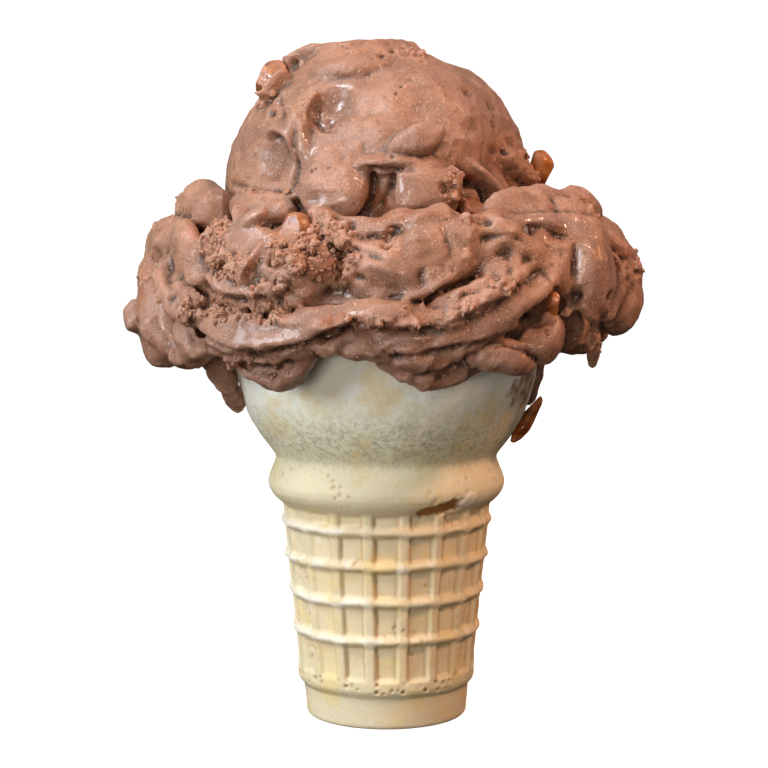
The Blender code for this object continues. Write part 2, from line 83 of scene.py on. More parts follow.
def to_mesh(name, skins):
    """One mesh from several skins, in millimetres: all quads first, then all triangles."""
    starts = np.cumsum([0] + [len(p) for p, _, _ in skins])[:-1]
    points = np.vstack([p for p, _, _ in skins]) * MM
    quads = np.vstack([q + s for (_, q, _), s in zip(skins, starts)])
    triangles = np.vstack([t + s for (_, _, t), s in zip(skins, starts)])
    corners = np.r_[quads.ravel(), triangles.ravel()].astype(np.int32)
    sizes = np.r_[np.full(len(quads), 4), np.full(len(triangles), 3)]
    mesh = bpy.data.meshes.new(name)
    mesh.vertices.add(len(points))
    mesh.vertices.foreach_set("co", points.astype(np.float32).ravel())
    mesh.loops.add(len(corners))
    mesh.loops.foreach_set("vertex_index", corners)
    mesh.polygons.add(len(sizes))
    mesh.polygons.foreach_set("loop_start", (np.cumsum(sizes) - sizes).astype(np.int32))
    mesh.update(calc_edges=True)
    mesh.shade_smooth()
    return mesh


def show(name, data):
    """An object that holds a mesh, a lamp or a camera, in the scene."""
    piece = bpy.data.objects.new(name, data)
    bpy.context.scene.collection.objects.link(piece)
    return piece


def points_of(mesh):
    found = np.empty(len(mesh.vertices) * 3, np.float32)
    mesh.vertices.foreach_get("co", found)
    return found.reshape(-1, 3).astype(float) / MM


def normals_of(mesh):
    found = np.empty(len(mesh.vertices) * 3, np.float32)
    mesh.vertex_normals.foreach_get("vector", found)
    return found.reshape(-1, 3).astype(float)


def put_points(mesh, points):
    mesh.vertices.foreach_set("co", (points * MM).astype(np.float32).ravel())
    mesh.update()


def skin_of(mesh):
    """The skin of a mesh that has only quads, as the voxel remesh makes them."""
    corners = np.empty(len(mesh.loops), np.int32)
    mesh.loops.foreach_get("vertex_index", corners)
    return points_of(mesh), corners.reshape(-1, 4), np.empty((0, 3), int)


def keep_state(mesh, *channels):
    """Four values from 0 to 1 at each point, kept as the attribute state for the finish."""
    state = mesh.attributes.new("state", "FLOAT_COLOR", "POINT")
    values = np.stack(np.broadcast_arrays(*channels, np.zeros(len(mesh.vertices)))[:4], 1)
    state.data.foreach_set("color", values.astype(np.float32).ravel())


def with_modifier(mesh, kind, **settings):
    """A new mesh: what one modifier makes of this one."""
    piece = show(mesh.name + "_before", mesh)
    step = piece.modifiers.new("step", kind)
    for key, value in settings.items():
        setattr(step, key, value)
    graph = bpy.context.evaluated_depsgraph_get()
    made = bpy.data.meshes.new_from_object(piece.evaluated_get(graph))
    bpy.data.objects.remove(piece)
    made.name = mesh.name
    made.shade_smooth()
    return made


def spot(azimuth, height, radius):
    """(azimuth in degrees, height, radius) to x, y, z."""
    turn = np.radians(azimuth)
    return np.stack([radius * np.sin(turn), -radius * np.cos(turn), height + 0 * turn], -1)


def azimuth_of(points):
    return np.degrees(np.arctan2(points[..., 0], -points[..., 1]))


def radius_of(points):
    return np.hypot(points[..., 0], points[..., 1])


def turn_from(start, azimuth):
    """The turn from one azimuth to another, -180 to 180 degrees."""
    return (azimuth - start + 180) % 360 - 180


def turned(outline, around):
    """Plain rings, with this many points each, through an outline of (height, radius) places."""
    turn = np.linspace(-180, 180, around, endpoint=False)[None, :]
    return spot(turn, outline[:, :1], outline[:, 1:])


def ball_ways(rows, around, top):
    """Unit directions in rings, from a tilt of -top to top radians: how a ball's skin is laid out."""
    tilt = np.linspace(-top, top, rows)[:, None]
    turn = np.linspace(0, 2 * np.pi, around, endpoint=False)
    return np.stack([np.cos(tilt) * np.sin(turn), -np.cos(tilt) * np.cos(turn),
                     np.sin(tilt) + 0 * turn], -1)


def eased(share):
    """Smoothstep: 0 below 0, 1 above 1, and 3s^2 - 2s^3 between."""
    share = np.clip(share, 0, 1)
    return share * share * (3 - 2 * share)


# %% [markdown]
# ## Noise from a hashed lattice
#
# Ice cream and wafer are uneven at every scale. Gradient noise gives that: each corner of an
# invisible lattice gets a random direction from its whole-number place, and a point blends what
# the eight corners around it say. A second pattern, cells, gives the distance to the nearest of
# many scattered points, which is how bubbles and pores are laid out.

# %% Noise
rng = np.random.default_rng(4)
WAYS = rng.normal(size=(1024, 3)).astype(np.float32)
WAYS /= np.linalg.norm(WAYS, axis=1)[:, None]
PRIMES = np.array([73856093, 19349663, 83492791], np.uint32)


def whole_cell(where):
    """The lattice cell of each point as three rows of whole numbers that may wrap round."""
    return np.floor(where).T.astype(np.int32).astype(np.uint32)


def random_way(key, seed):
    """A random direction for each mixed key."""
    key = key ^ np.uint32(seed * 2654435761 & 0xFFFFFFFF)
    key = (key ^ (key >> 13)) * np.uint32(1274126177)
    return WAYS[(key ^ (key >> 15)) & 1023]


def noise(points, size, seed=0):
    """Gradient noise, about -1 to 1, with lumps of this size in the points' own unit."""
    where = np.asarray(points, np.float32).reshape(-1, 3) / np.float32(size)
    part = (where - np.floor(where)).T
    ease = part ** 3 * (part * (part * 6 - 15) + 10)
    low = whole_cell(where) * PRIMES[:, None]
    keys, weights, total = (low, low + PRIMES[:, None]), (1 - ease, ease), 0.0
    for i, j, k in np.ndindex(2, 2, 2):
        ways = random_way(keys[i][0] ^ keys[j][1] ^ keys[k][2], seed)
        height = ways[:, 0] * (part[0] - i) + ways[:, 1] * (part[1] - j) + ways[:, 2] * (part[2] - k)
        total = total + height * weights[i][0] * weights[j][1] * weights[k][2]
    return (total * 1.6).reshape(np.shape(points)[:-1])


def rough(points, size, octaves, seed=0, keep=0.5):
    """Noise added up over octaves, each half the size of the last and keep times as strong."""
    return sum(noise(points, size / 2 ** k, seed + k) * keep ** k for k in range(octaves))


def swayed(points, size, reach, seed=0, octaves=1):
    """Points moved by three noises, one along each axis, by up to about reach."""
    return points + reach * np.stack([rough(points, size, octaves, seed + 31 * k) for k in range(3)], -1)


def cells(points, size, seed=0):
    """Distance from each point to the nearest of one random point per lattice cell, over size."""
    where = np.asarray(points, np.float32) / np.float32(size)
    home, nearest = np.floor(where), np.full(len(where), 81.0, np.float32)
    for step in np.ndindex(3, 3, 3):
        cell = home + np.array(step, np.float32) - 1
        keys = whole_cell(cell) * PRIMES[:, None]
        seat = cell + 0.5 + 0.45 * random_way(keys[0] ^ keys[1] ^ keys[2], seed)
        nearest = np.minimum(nearest, ((where - seat) ** 2).sum(-1))
    return np.sqrt(nearest)


# %% [markdown]
# ## Folds
#
# A scoop drags soft ice cream into rolls, tongues and ribbons that lie over each other like
# shingles: one edge of a fold is round and overhangs a dark crease, and the other runs smoothly
# into the heap. Each fold is a drop-shaped profile carried along a path. All folds and a plain
# core are then fused into one skin by a voxel remesh, which keeps the undercuts.

# %% Folds
PROFILE, ALONG = 44, 52           # points round a fold, and rings along it
HEART = (0, 0, 92)                # the place in the lower scoop that its folds face away from


def smooth_path(points, count):
    """count places along a Catmull-Rom curve through the points."""
    points = np.asarray(points, float)
    padded = np.vstack([2 * points[0] - points[1], points, 2 * points[-1] - points[-2]])
    t = np.linspace(0, len(points) - 1 - 1e-9, count)
    k = t.astype(int)
    t = (t - k)[:, None]
    a, b, c, d = (padded[k + n] for n in range(4))
    return 0.5 * (2 * b + (c - a) * t + (2 * a - 5 * b + 4 * c - d) * t ** 2
                  + (3 * b - a - 3 * c + d) * t ** 3)


def unit(ways):
    return ways / np.maximum(np.linalg.norm(ways, axis=-1, keepdims=True), 1e-9)


def fold(places, half_width, half_thick, tail=0.0, blunt=0.4, boxy=1.0, streaks=0.07, seed=0,
         centre=HEART):
    """A drop-shaped profile carried along a path of (azimuth, height, radius) places.

    Round the profile at angle t, sideways is width cos t and outwards is thick sin t. On the side
    away from the round nose the sideways part grows by 1 + tail and the point sinks by
    0.7 tail thick p^2, where p = (1 - cos t) / 2. Fine streaks along the fold are noise of t. The
    size falls to nothing at both ends as (1 - |1 - 2s|^6)^blunt, s being the share of the path.
    The nose of a fold that runs to the right hangs down; a negative tail turns it over. A power
    boxy below 1 on cos t and sin t squares the profile.
    """
    middle = smooth_path(spot(*np.array(places, float).T), ALONG)
    ahead = unit(np.gradient(middle, axis=0))
    out = (middle - np.array(centre, float)) * [1, 1, 0.6]
    out = unit(out - (out * ahead).sum(1, keepdims=True) * ahead)
    side = np.cross(ahead, out)
    s = np.linspace(0.004, 0.996, ALONG)
    ends = (1 - np.abs(1 - 2 * s) ** 6) ** blunt
    wide = np.interp(s, np.linspace(0, 1, len(half_width)), half_width) * ends
    thick = np.interp(s, np.linspace(0, 1, len(half_thick)), half_thick) * ends
    t = np.linspace(0, 2 * np.pi, PROFILE, endpoint=False)
    cos_t, sin_t = np.cos(t), np.sin(t)
    nose, tail = (1.0 if tail >= 0 else -1.0), abs(tail)
    share = (1 - nose * cos_t) / 2
    across = np.sign(cos_t) * np.abs(cos_t) ** boxy * np.where(nose * cos_t < 0, 1 + tail, 1)
    outwards = np.sign(sin_t) * np.abs(sin_t) ** boxy
    outwards = outwards * (1 - 0.55 * min(tail, 1) * share ** 1.5) - 0.7 * tail * share ** 2
    drag = np.stack(np.broadcast_arrays(2.2 * cos_t, 2.2 * sin_t, 1.4 * s[:, None]), -1)
    swell = 1 + streaks * rough(drag + 17 * seed, 0.55, 2, seed)
    rings = (middle[:, None] + (wide[:, None] * across * swell)[..., None] * side[:, None]
             + (thick[:, None] * outwards * swell)[..., None] * out[:, None])
    return closed_grid(rings)


def ball(centre, axes, rows=30, around=50):
    """An ellipsoid: the unit directions times the half axes."""
    return closed_grid(np.array(centre) + ball_ways(rows, around, np.pi / 2 - 0.06) * np.array(axes))


def lathe(profile, around=72, squash=0.95):
    """(radius, height) places turned about the axis, a little flatter from front to back."""
    radius, height = np.array(profile, float).T
    turn = np.linspace(0, 2 * np.pi, around, endpoint=False)
    rings = np.stack([radius[:, None] * np.sin(turn), -squash * radius[:, None] * np.cos(turn),
                      height[:, None] + 0 * turn], -1)
    return closed_grid(rings)


def fused(name, skins, voxel):
    """One skin round all the pieces, from a voxel remesh at this size."""
    mesh = with_modifier(to_mesh(name, skins), "REMESH", mode="VOXEL", voxel_size=voxel * MM)
    print(f"{name}: {len(skins)} skins fused into {len(mesh.polygons)} faces")
    return mesh


def relaxed(points, mesh, times, strength=0.5):
    """Each point moves part of the way to the mean of its neighbours, several times over."""
    ends = np.empty(len(mesh.edges) * 2, np.int32)
    mesh.edges.foreach_get("vertices", ends)
    a, b = ends.reshape(-1, 2).T
    order = np.r_[a, b]
    count = np.bincount(order, minlength=len(points))[:, None]
    for _ in range(times):
        sums = np.stack([np.bincount(order, np.r_[points[b, k], points[a, k]], len(points))
                         for k in range(3)], 1)
        points = points + strength * (sums / count - points)
    return points


# %% [markdown]
# ## Torn, crumbly and dented places
#
# Where a scoop tears frozen ice cream it leaves crumbs and holes; where it presses, the ice cream
# is smooth and soon wet. Patches say where: an oval round an azimuth and a height, with an edge
# that noise makes ragged. Crumbs are small lumps seated on random points of those patches and
# fused in with the rest. Holes and dents push the skin along its normal. Terraces are the low
# torn steps that dragging leaves nearly everywhere: a sawtooth across the flow, bent by noise.

# %% Patches, crumbs, holes and terraces
def patch(points, azimuth, height, half_turn, half_height, soft=0.3):
    """1 inside an oval patch of the heap, 0 outside, with a soft edge."""
    turn = turn_from(azimuth, azimuth_of(points))
    away = np.hypot(turn / half_turn, (points[..., 2] - height) / half_height)
    return eased((1 + soft - away) / (2 * soft))


def patches(points, table):
    """The strongest of several patches (azimuth, height, half turn, half height, strength)."""
    return np.max([strength * patch(points, *oval) for *oval, strength in table], axis=0)


def lumps(centres, sizes, seed, rows=6, around=9, planes=7):
    """One skin of many angular lumps, each at a centre.

    The reach of a lump in a direction is the nearest of a few planes that face random ways, at
    0.7 to 1.1 of its size, and at most 1.3.
    """
    ways = np.vstack([ball_ways(rows, around, 1.25).reshape(-1, 3), [[0, 0, -1.0], [0, 0, 1.0]]])
    draws, count = np.random.default_rng(seed), len(centres)
    stretch = draws.uniform(0.65, 1.3, (count, 1, 3))
    facing = unit(draws.normal(size=(count, planes, 3))) / draws.uniform(0.7, 1.1, (count, planes, 1))
    reach = 1 / np.maximum((ways @ facing.transpose(0, 2, 1)).max(2, keepdims=True), 1 / 1.3)
    points = centres[:, None] + ways * stretch * reach * sizes[:, None, None]
    quads, fans = pole_faces(rows, around)
    jump = (np.arange(count) * len(ways))[:, None, None]
    return points.reshape(-1, 3), (quads + jump).reshape(-1, 4), (fans + jump).reshape(-1, 3)


def seats(mask, count, seed):
    """count places in the list of points, drawn with a chance in proportion to the mask."""
    draws = np.random.default_rng(seed)
    return draws.choice(len(mask), count, replace=False, p=mask / mask.sum())


def hollows(points, table):
    """How far each point is pushed in by holes (azimuth, height, half width, half height, depth).

    Inside an oval, depth falls off as (1 - d^2)^1.5 with d the distance over the half size.
    """
    azimuth, radius, total = azimuth_of(points), radius_of(points), np.zeros(len(points))
    for at, height, half_width, half_height, depth in table:
        turn = np.radians(turn_from(at, azimuth))
        away = np.hypot(turn * radius / half_width, (points[:, 2] - height) / half_height)
        total += depth * np.maximum(1 - away ** 2, 0) ** 1.5 * (np.abs(turn) < 1)
    return total


def grooves(points, table):
    """How far each point is pushed in by creases (path of (azimuth, height), half width, depth).

    At distance d from the path, measured over the surface, the crease is (1 - d / width)^1.5 deep,
    and it grows shallow towards both of its ends.
    """
    azimuth, radius, total = azimuth_of(points), radius_of(points), np.zeros(len(points))
    for path, width, depth in table:
        line = smooth_path(path, 50)
        middle, reach = line.mean(0), np.abs(line - line.mean(0)).max(0)
        near = np.flatnonzero((np.abs(turn_from(middle[0], azimuth)) < reach[0] + 12)
                              & (np.abs(points[:, 2] - middle[1]) < reach[1] + 4))
        turn = np.radians(turn_from(line[:, 0], azimuth[near, None])) * radius[near, None]
        away = np.hypot(turn, points[near, 2:] - line[:, 1])
        nearest = away.argmin(1)
        share = np.sin(np.pi * (nearest + 0.5) / len(line)) ** 0.4
        total[near] += depth * share * np.maximum(1 - away.min(1) / width, 0) ** 1.5
    return total


def terraces(points, slant, spacing, seed):
    """Torn steps, 0 to 1: sharp at their lower edge, fading upwards, and fading in and out.

    The level is the height across the flow, slant degrees from level, over the spacing, plus
    noise. Within each whole level the step is at once full and falls as (1 - rest)^1.3.
    """
    along = np.radians(azimuth_of(points)) * radius_of(points).mean()
    slant = np.radians(slant)
    level = points[:, 2] * np.cos(slant) - along * np.sin(slant)
    phase = level / spacing + 1.1 * rough(points, 10.0, 2, seed) + 0.4 * noise(points, 3.2, seed + 9)
    rest = phase - np.floor(phase)
    there = eased((noise(points, 9.0, seed + 5) + 0.3) / 0.5)
    return there * eased(rest / 0.12) * (1 - rest) ** 1.3 * 1.3


# %% [markdown]
# ## The lower scoop
#
# The wide scoop fills the cup and hangs over its rim. Its core is a lathe shape that is a little
# flatter from front to back; on it lie the folds, each named by where it lies for someone facing
# the front. The round back repeats the same kinds of fold by a rule.

# %% Lower scoop: core, folds, torn places and holes
LOWER_CORE = [(20, 68), (27, 70.5), (31, 75.4), (36, 76.6), (40.5, 79), (43.2, 82.5), (44, 86), (43, 90),
              (40.3, 94), (36.5, 97.2), (31, 99.4), (24, 100.4), (12, 100.8)]
# name: path of (azimuth, height, radius), half widths, half thicknesses, tail, blunt, boxy
LOWER_FOLDS = {
    "left_block": ([(-104, 100, 35.5), (-88, 101.8, 36.8), (-76, 101.8, 36.4), (-64, 100, 36)],
                   (4.2, 4.2, 3.6), (4.8, 4.4), 0.2),
    "left_shoulder": ([(-112, 92, 41), (-94, 93.8, 42.6), (-80, 94, 42.4), (-68, 95, 41)],
                      (5.0, 5.0, 4.4), (5.0, 5.2, 3.6), 0.2),
    "left_slope": ([(-77, 96.0, 40.6), (-65, 94.4, 42.2), (-56, 91.4, 43.2), (-50, 88.0, 43.4)],
                   (3.6, 4.6, 4.2, 2.6), (2.2, 2.6, 2.2), 0.0),
    "left_outer": ([(-84, 95.4, 43), (-81, 90, 44.8), (-79, 84, 45.4), (-75, 78, 44.8), (-71, 74, 43)],
                   (2.8, 3.5, 3.7, 3.2), (3.0, 3.8, 3.7, 3.2), 0.0),
    "left_wet_strip": ([(-72.5, 92.6, 43.6), (-70, 89.4, 44.8), (-68, 84.3, 45.4), (-65, 79, 45.4),
                        (-61.5, 74.0, 43.6)], (0.9, 1.2, 1.2, 0.7), (1.6, 1.9, 1.7), 0.0),
    "left_side": ([(-104, 91, 43.5), (-94, 85, 45.6), (-88, 78, 45.4), (-80, 73.6, 42.4)],
                  (6.0, 6.0), (5.0, 5.0), 0.3),
    "side_lobe": ([(-87, 83, 49.4), (-85, 80.5, 50.2), (-83, 77.6, 49.8)], (2.2, 2.2), (2.3, 2.5), 0.0),
    "pitted_lump": ([(-83, 83.2, 46.8), (-81, 80.8, 47.4), (-77, 78.8, 47)], (1.5, 1.9), (1.8, 1.9), 0.0),
    "mid_ribbon": ([(-70, 92.6, 44.0), (-66.5, 90.2, 45.8), (-61.5, 87.6, 46.8), (-56, 85.2, 47.6),
                    (-51, 82.8, 48), (-47, 81.2, 47.6)], (0.8, 1.5, 1.9, 2.1), (2.2, 2.8, 3.0), 0.6),
    "left_wedge": ([(-60, 80.6, 44.4), (-57, 77, 44.6), (-54.5, 73.6, 43)], (1.6, 3.2, 2.2),
                   (2.0, 2.6), 0.4),
    "left_bottom": ([(-78, 75.6, 41), (-66, 74.4, 42), (-54, 75.2, 41.8)], (2.8, 2.6), (3.4, 3.2), 0.2),
    "left_bottom_lip": ([(-62, 75.4, 43.4), (-55, 74.8, 43.8), (-49, 76.0, 43.8)],
                        (1.4, 1.4), (2.2, 2.0), 0.8),
    "swoosh": ([(-47, 81.4, 45.8), (-39, 78.8, 46.4), (-32, 78.0, 46.2), (-25, 78.4, 46.0),
                (-18, 79.6, 46.0), (-13, 81.0, 46.2), (-8, 82.8, 46)],
               (1.9, 2.2, 1.9), (2.6, 3.0), 0.9),
    "under_first": ([(-48, 77.4, 44.6), (-36, 76.0, 43.8), (-24, 76.2, 43.2), (-14, 78.6, 43.6)],
                    (1.1, 1.1), (1.8, 2.0), 0.8),
    "under_second": ([(-50, 75.4, 42.4), (-40, 74.4, 41.6), (-28, 74.6, 41.4), (-17, 77.2, 42.2)],
                     (1.3, 1.4), (2.2, 2.2), 0.8),
    "under_third": ([(-46, 74.6, 40.4), (-38, 72.0, 38.6), (-31, 71.0, 37.6), (-25, 72.6, 38.6),
                     (-19, 75.6, 40.0)], (1.9, 2.4, 1.8), (2.8, 2.8), 0.6),
    "under_fill": ([(-44, 75, 38.6), (-32, 73.8, 37.6), (-22, 75, 38.6)], (2.6, 2.6), (2.6, 2.8), 0.0),
    "under_middle": ([(-18, 77.4, 42.2), (-8, 77.2, 42.8), (0, 76.6, 42.6)], (1.7, 1.8), (2.2, 2.4), 0.6),
    "crumbly": ([(-52, 94, 40.6), (-38, 91, 42.4), (-26, 90.4, 42.6), (-14, 93, 40.8)],
                (7.2, 7.6, 6.4), (3.4, 3.8), 0.0),
    "grey_roll": ([(-46, 88.8, 45.2), (-39, 87.2, 46.6), (-31, 87.0, 47.0), (-22, 88.2, 46.2)],
                  (0.7, 1.0, 0.8), (1.9, 2.2), 1.2),
    "upright_roll": ([(-28.6, 95.6, 45.0), (-30.6, 92.4, 46.8), (-32.4, 89.6, 47.2), (-33, 87.4, 46.8)],
                     (0.7, 1.0), (2.0, 2.2), 1.2),
    "upright_thin": ([(-21.5, 96.4, 44.6), (-20.2, 92.6, 46.2), (-18.6, 89.6, 46.6)],
                     (0.7, 0.8), (1.5, 1.6), -1.0),
    "slant_rib": ([(-43, 93.6, 44.2), (-38, 92.4, 45), (-34, 93.8, 44.6)], (0.6, 0.8), (1.2, 1.3), 0.8),
    "flap_drop": ([(-43.5, 102.6, 39.0), (-41.4, 100.2, 41.0), (-38.4, 97.4, 42.8)],
                  (0.8, 0.9), (1.9, 2.0), 0.7),
    "flap_curl": ([(-37.6, 97.0, 43.2), (-34.6, 99.4, 43.4), (-31, 101.4, 42.4)],
                  (0.6, 1.4, 1.1), (1.6, 2.4, 2.0), 0.9),
    "swirl": ([(-19, 101.2, 38.8), (-14, 99, 40.6), (-7, 97.8, 41.6), (0, 98.6, 41.2), (7, 100.6, 39.4)],
              (1.3, 1.5, 1.2), (2.3, 2.6), 0.9),
    "swirl_low": ([(-13, 97.2, 42.0), (-7, 95.4, 43.1), (0, 93.6, 43.8)], (1.0, 1.2), (1.8, 2.0), 1.2),
    "middle": ([(-9, 90.4, 41.8), (4, 91.2, 43.0), (15, 93.8, 42.6), (25, 97.2, 40.4)],
               (5.6, 6.2, 5.0), (3.2, 3.7), 0.0),
    "middle_low": ([(3, 86.2, 45.6), (8, 87.0, 46.2), (13, 88.8, 46.2), (17, 91.8, 45.6), (18.5, 95, 44.4)],
                   (0.7, 0.9), (1.3, 1.5), 1.6),
    "near_hill": ([(-7, 92.8, 43.6), (0, 91.2, 44.8), (6, 89.6, 45.0)],
                  (2.6, 3.1, 2.2), (2.0, 2.5, 1.8), 0.3),
    "far_hill": ([(6, 96.0, 42.6), (11, 94.6, 43.8), (15, 92.8, 44.4)],
                 (2.0, 2.4, 1.8), (1.6, 2.1, 1.6), 0.3),
    "shelf_tongue": ([(-12, 82.2, 45.4), (-7, 83.0, 46.6), (0, 82.7, 47.0), (5, 82.1, 46.8), (9, 81.4, 46)],
                     (1.5, 1.9, 1.6), (2.6, 3.2), 0.7),
    "torn_shelf": ([(3, 82.0, 45.2), (11, 81.8, 46.2), (18, 84.2, 46.8), (25, 87.2, 46.8), (33, 90.4, 46)],
                   (1.7, 2.0, 1.6), (3.0, 3.4), 0.7),
    "shelf_edge": ([(7, 83.8, 46.6), (13, 83.2, 47.4), (19, 85.6, 48.2), (26, 88.6, 47.9), (33, 91.0, 46.8)],
                   (0.7, 0.9), (1.3, 1.5), 1.2),
    "band_high": ([(2, 79.4, 43.6), (12, 79.4, 44.8), (21, 81.4, 45.8), (29, 84.2, 46.6), (36, 87.4, 46.8),
                   (42, 92.4, 45.4)], (1.5, 1.8), (2.3, 2.6), 0.8),
    "band_low": ([(-6, 77.8, 43.4), (6, 77.4, 44.0), (14, 78.4, 45.0), (24, 80.6, 45.8), (31, 82.6, 46)],
                 (1.6, 1.8, 1.3), (2.2, 2.5), 0.9),
    "band_third": ([(-3, 75.8, 42.6), (8, 75.4, 43.4), (18, 76.8, 44.4), (27, 79.2, 45.2)],
                   (1.0, 1.2), (1.9, 2.1), 1.2),
    "droop": ([(-3, 74.8, 40.8), (5, 73.2, 40.2), (12, 71.9, 39.8), (19, 73.0, 40.2), (29, 76.2, 41)],
              (2.0, 2.8, 2.1), (2.8, 3.2), 0.5),
    "droop_high": ([(0, 75.2, 42.4), (7, 73.9, 43.0), (13, 74.6, 43.4), (19, 76.4, 43.8)],
                   (0.9, 1.1), (1.7, 1.9), 1.4),
    "gloss_tongue": ([(20, 75.8, 42.6), (26, 75.0, 44.6), (31, 74.2, 44.8), (36.5, 73.2, 43.8)],
                     (2.2, 3.2, 3.0, 1.3), (2.6, 3.0, 2.4), 0.1, 0.3),
    "right_bulge": ([(36.5, 80.0, 43.2), (39, 77.4, 44.8), (41.5, 74.2, 43.2)], (4.8, 5.4, 2.6),
                    (2.2, 2.9, 2.2), 0.0),
    "right_layer": ([(35, 95, 44.2), (39, 91, 45.0), (42, 87.4, 45.2)], (3.2, 3.0, 1.8), (2.2, 2.5), 0.2),
    "right_slope": ([(39, 99.0, 42.4), (43, 95, 44.4), (45.5, 89, 45.8), (45.4, 85, 45.4)],
                    (3.6, 4.4, 3.4, 1.6), (2.2, 2.4, 2.0), 0.0),
    "crevice_lump": ([(45.6, 87.0, 45.4), (46.2, 84.4, 46.2), (45.6, 81.6, 45.4)], (0.7, 0.9),
                     (1.6, 1.8), 0.2),
    "right_ribbon": ([(46.5, 101, 41.0), (51, 98, 44.6), (53, 93, 47.0), (52.4, 87.4, 48),
                      (50.5, 82.8, 47.4)], (4.4, 5.6, 5.8, 4.4), (2.8, 3.3, 3.2), 0.1, 0.3, 0.8),
    "ribbon_ridge": ([(47, 98, 45.8), (47.6, 94, 49.0), (47.6, 89.6, 50), (47, 85.0, 49.4)],
                     (0.7, 0.9), (1.2, 1.4), -1.4),
    "ribbon_tatter": ([(47.6, 84.6, 48.4), (49, 82.2, 49.0), (51.6, 81.6, 48.8)],
                      (0.9, 1.1), (1.2, 1.4), 0.6),
    "right_hill": ([(23, 97.4, 43.0), (29, 97.0, 44.6), (34.5, 95.6, 45.0)], (1.8, 2.3, 1.7),
                   (1.8, 2.5, 1.8), 0.3),
    "right_fill": ([(22, 93.4, 43.6), (30, 92.8, 44.6), (39, 92.4, 45.0)], (3.2, 3.8), (2.0, 2.5), 0.2),
    "far_right": ([(67, 98, 42), (73, 92, 46), (73, 85, 47.2), (69, 79, 45.2)],
                  (4.2, 5.0), (4.2, 4.8), 0.3),
    "far_fold": ([(60, 97, 44), (64.5, 92, 47.2), (65, 86.4, 48), (62, 81, 46.6)],
                 (1.3, 1.6), (2.2, 2.4), 1.0),
    "right_side": ([(96, 99, 40), (95, 91, 45), (93, 84, 44.6), (90, 79, 41)], (6.4, 6.0), (5.2, 5.2), 0.2),
    "right_shoulder": ([(58, 101, 37.8), (74, 101.4, 38.6), (94, 100.6, 38)], (3.4, 3.8), (4.0, 4.6), 0.2),
    "right_under": ([(50, 79.6, 38.8), (60, 78.6, 40.4), (72, 79.2, 41)], (3.4, 3.4), (3.2, 3.4), 0.1),
    "right_drip": ([(62, 77.6, 43.6), (65.5, 74.4, 43.2), (68, 70.6, 42.4)], (1.9, 0.6), (1.8, 0.7), 0.0),
    "right_crest": ([(52, 101.2, 41), (60, 103, 40.4), (69, 103.2, 40.2), (76, 101.4, 40.6)],
                    (1.3, 1.5), (2.0, 2.3), 0.9),
    "flap": ([(26, 98.0, 41.6), (33, 99.4, 42.7), (41, 99.4, 43.2), (50, 98.6, 43.2), (55, 98, 42.4)],
             (1.2, 1.8, 1.3), (2.4, 3.0), 1.1),
    "facet": ([(28, 101.4, 38.8), (38, 102.8, 39.2), (50, 103.2, 39), (60, 101.8, 39.2)],
              (1.8, 2.2, 1.8), (2.8, 3.0), 0.4),
    "small_roll": ([(16, 96.4, 42.2), (21, 97.6, 42.8), (26, 99.0, 42.2), (31, 99, 41.4)],
                   (1.1, 1.4), (2.0, 2.3), 0.9),
    "wet_roll": ([(13.6, 99, 41.4), (15.4, 96.8, 43.2), (16.2, 93.6, 44.6)], (0.8, 1.0), (1.6, 1.8), 0.9),
    "knob_tongue": ([(0, 100, 40.4), (5, 98.6, 41.8), (11, 98.6, 41.8), (17, 100.2, 40.6)],
                    (1.5, 1.7), (2.2, 2.4), 0.7),
    "left_bowl_drip": ([(-98, 71, 34.5), (-95, 67.4, 33), (-93, 64.8, 32)], (3.4, 2.2), (3.0, 1.8), 0.0),
    "left_front_drip": ([(-70, 74.6, 37.4), (-74, 70, 34.0), (-79, 65.6, 31.0), (-82, 61.6, 29.4)],
                        (3.0, 2.6, 2.0, 1.0), (2.8, 2.0, 1.4), 0.0),
    "right_bowl_drip": ([(78, 75, 31.6), (84, 70.6, 30.2), (88, 66, 29.2), (93, 62, 28.0)],
                        (2.2, 1.6, 1.0), (1.4, 1.0, 0.8), 0.0),
}
# azimuth, height, half turn, half height, strength
LOWER_TORN = [
    (-46, 95.6, 6.5, 4.4, 1.0), (-38, 91.2, 7.0, 3.0, 0.95), (-48.6, 82.0, 2.6, 1.8, 0.8),
    (-25, 93.1, 3.6, 3.6, 0.9),
    (-14.5, 94.2, 8.5, 5.4, 1.0), (-12, 89.8, 3.4, 2.2, 0.9), (-25, 87.4, 6.0, 1.8, 0.7),
    (-29, 83.2, 8.0, 2.4, 0.9), (-46.5, 83.8, 3.8, 3.0, 0.95), (-39, 82.6, 3.2, 1.6, 0.8),
    (7, 82.0, 5.5, 2.4, 0.45), (16, 84.6, 6.0, 2.2, 0.45), (26, 88.0, 6.5, 2.0, 0.5),
    (-4, 81.6, 7.0, 1.3, 0.7), (69, 90.5, 5.5, 4.2, 0.5), (-36, 72.6, 12, 2.2, 0.4),
    (-22, 76.2, 12, 1.6, 0.25), (-6, 76.6, 8, 1.8, 0.3), (62, 101.5, 9, 2.8, 0.5), (58, 77, 13, 3.0, 0.4),
    (-86, 101.4, 12, 4.2, 0.35), (-82, 86, 5, 5, 0.3), (-58.5, 85.6, 1.6, 1.4, 0.6), (0, 95.6, 3, 2.4, 0.5),
    (21, 98.6, 4, 1.6, 0.5), (35, 79.8, 3.5, 2.0, 0.3),
    (118, 92, 9, 5, 0.8), (142, 84, 8, 4, 0.7), (166, 97, 12, 4, 0.8), (188, 86, 7, 4.6, 0.8),
    (214, 93, 10, 4.4, 0.8), (236, 83, 9, 4, 0.7), (252, 98, 7, 3.2, 0.7), (180, 74, 30, 3, 0.4),
]
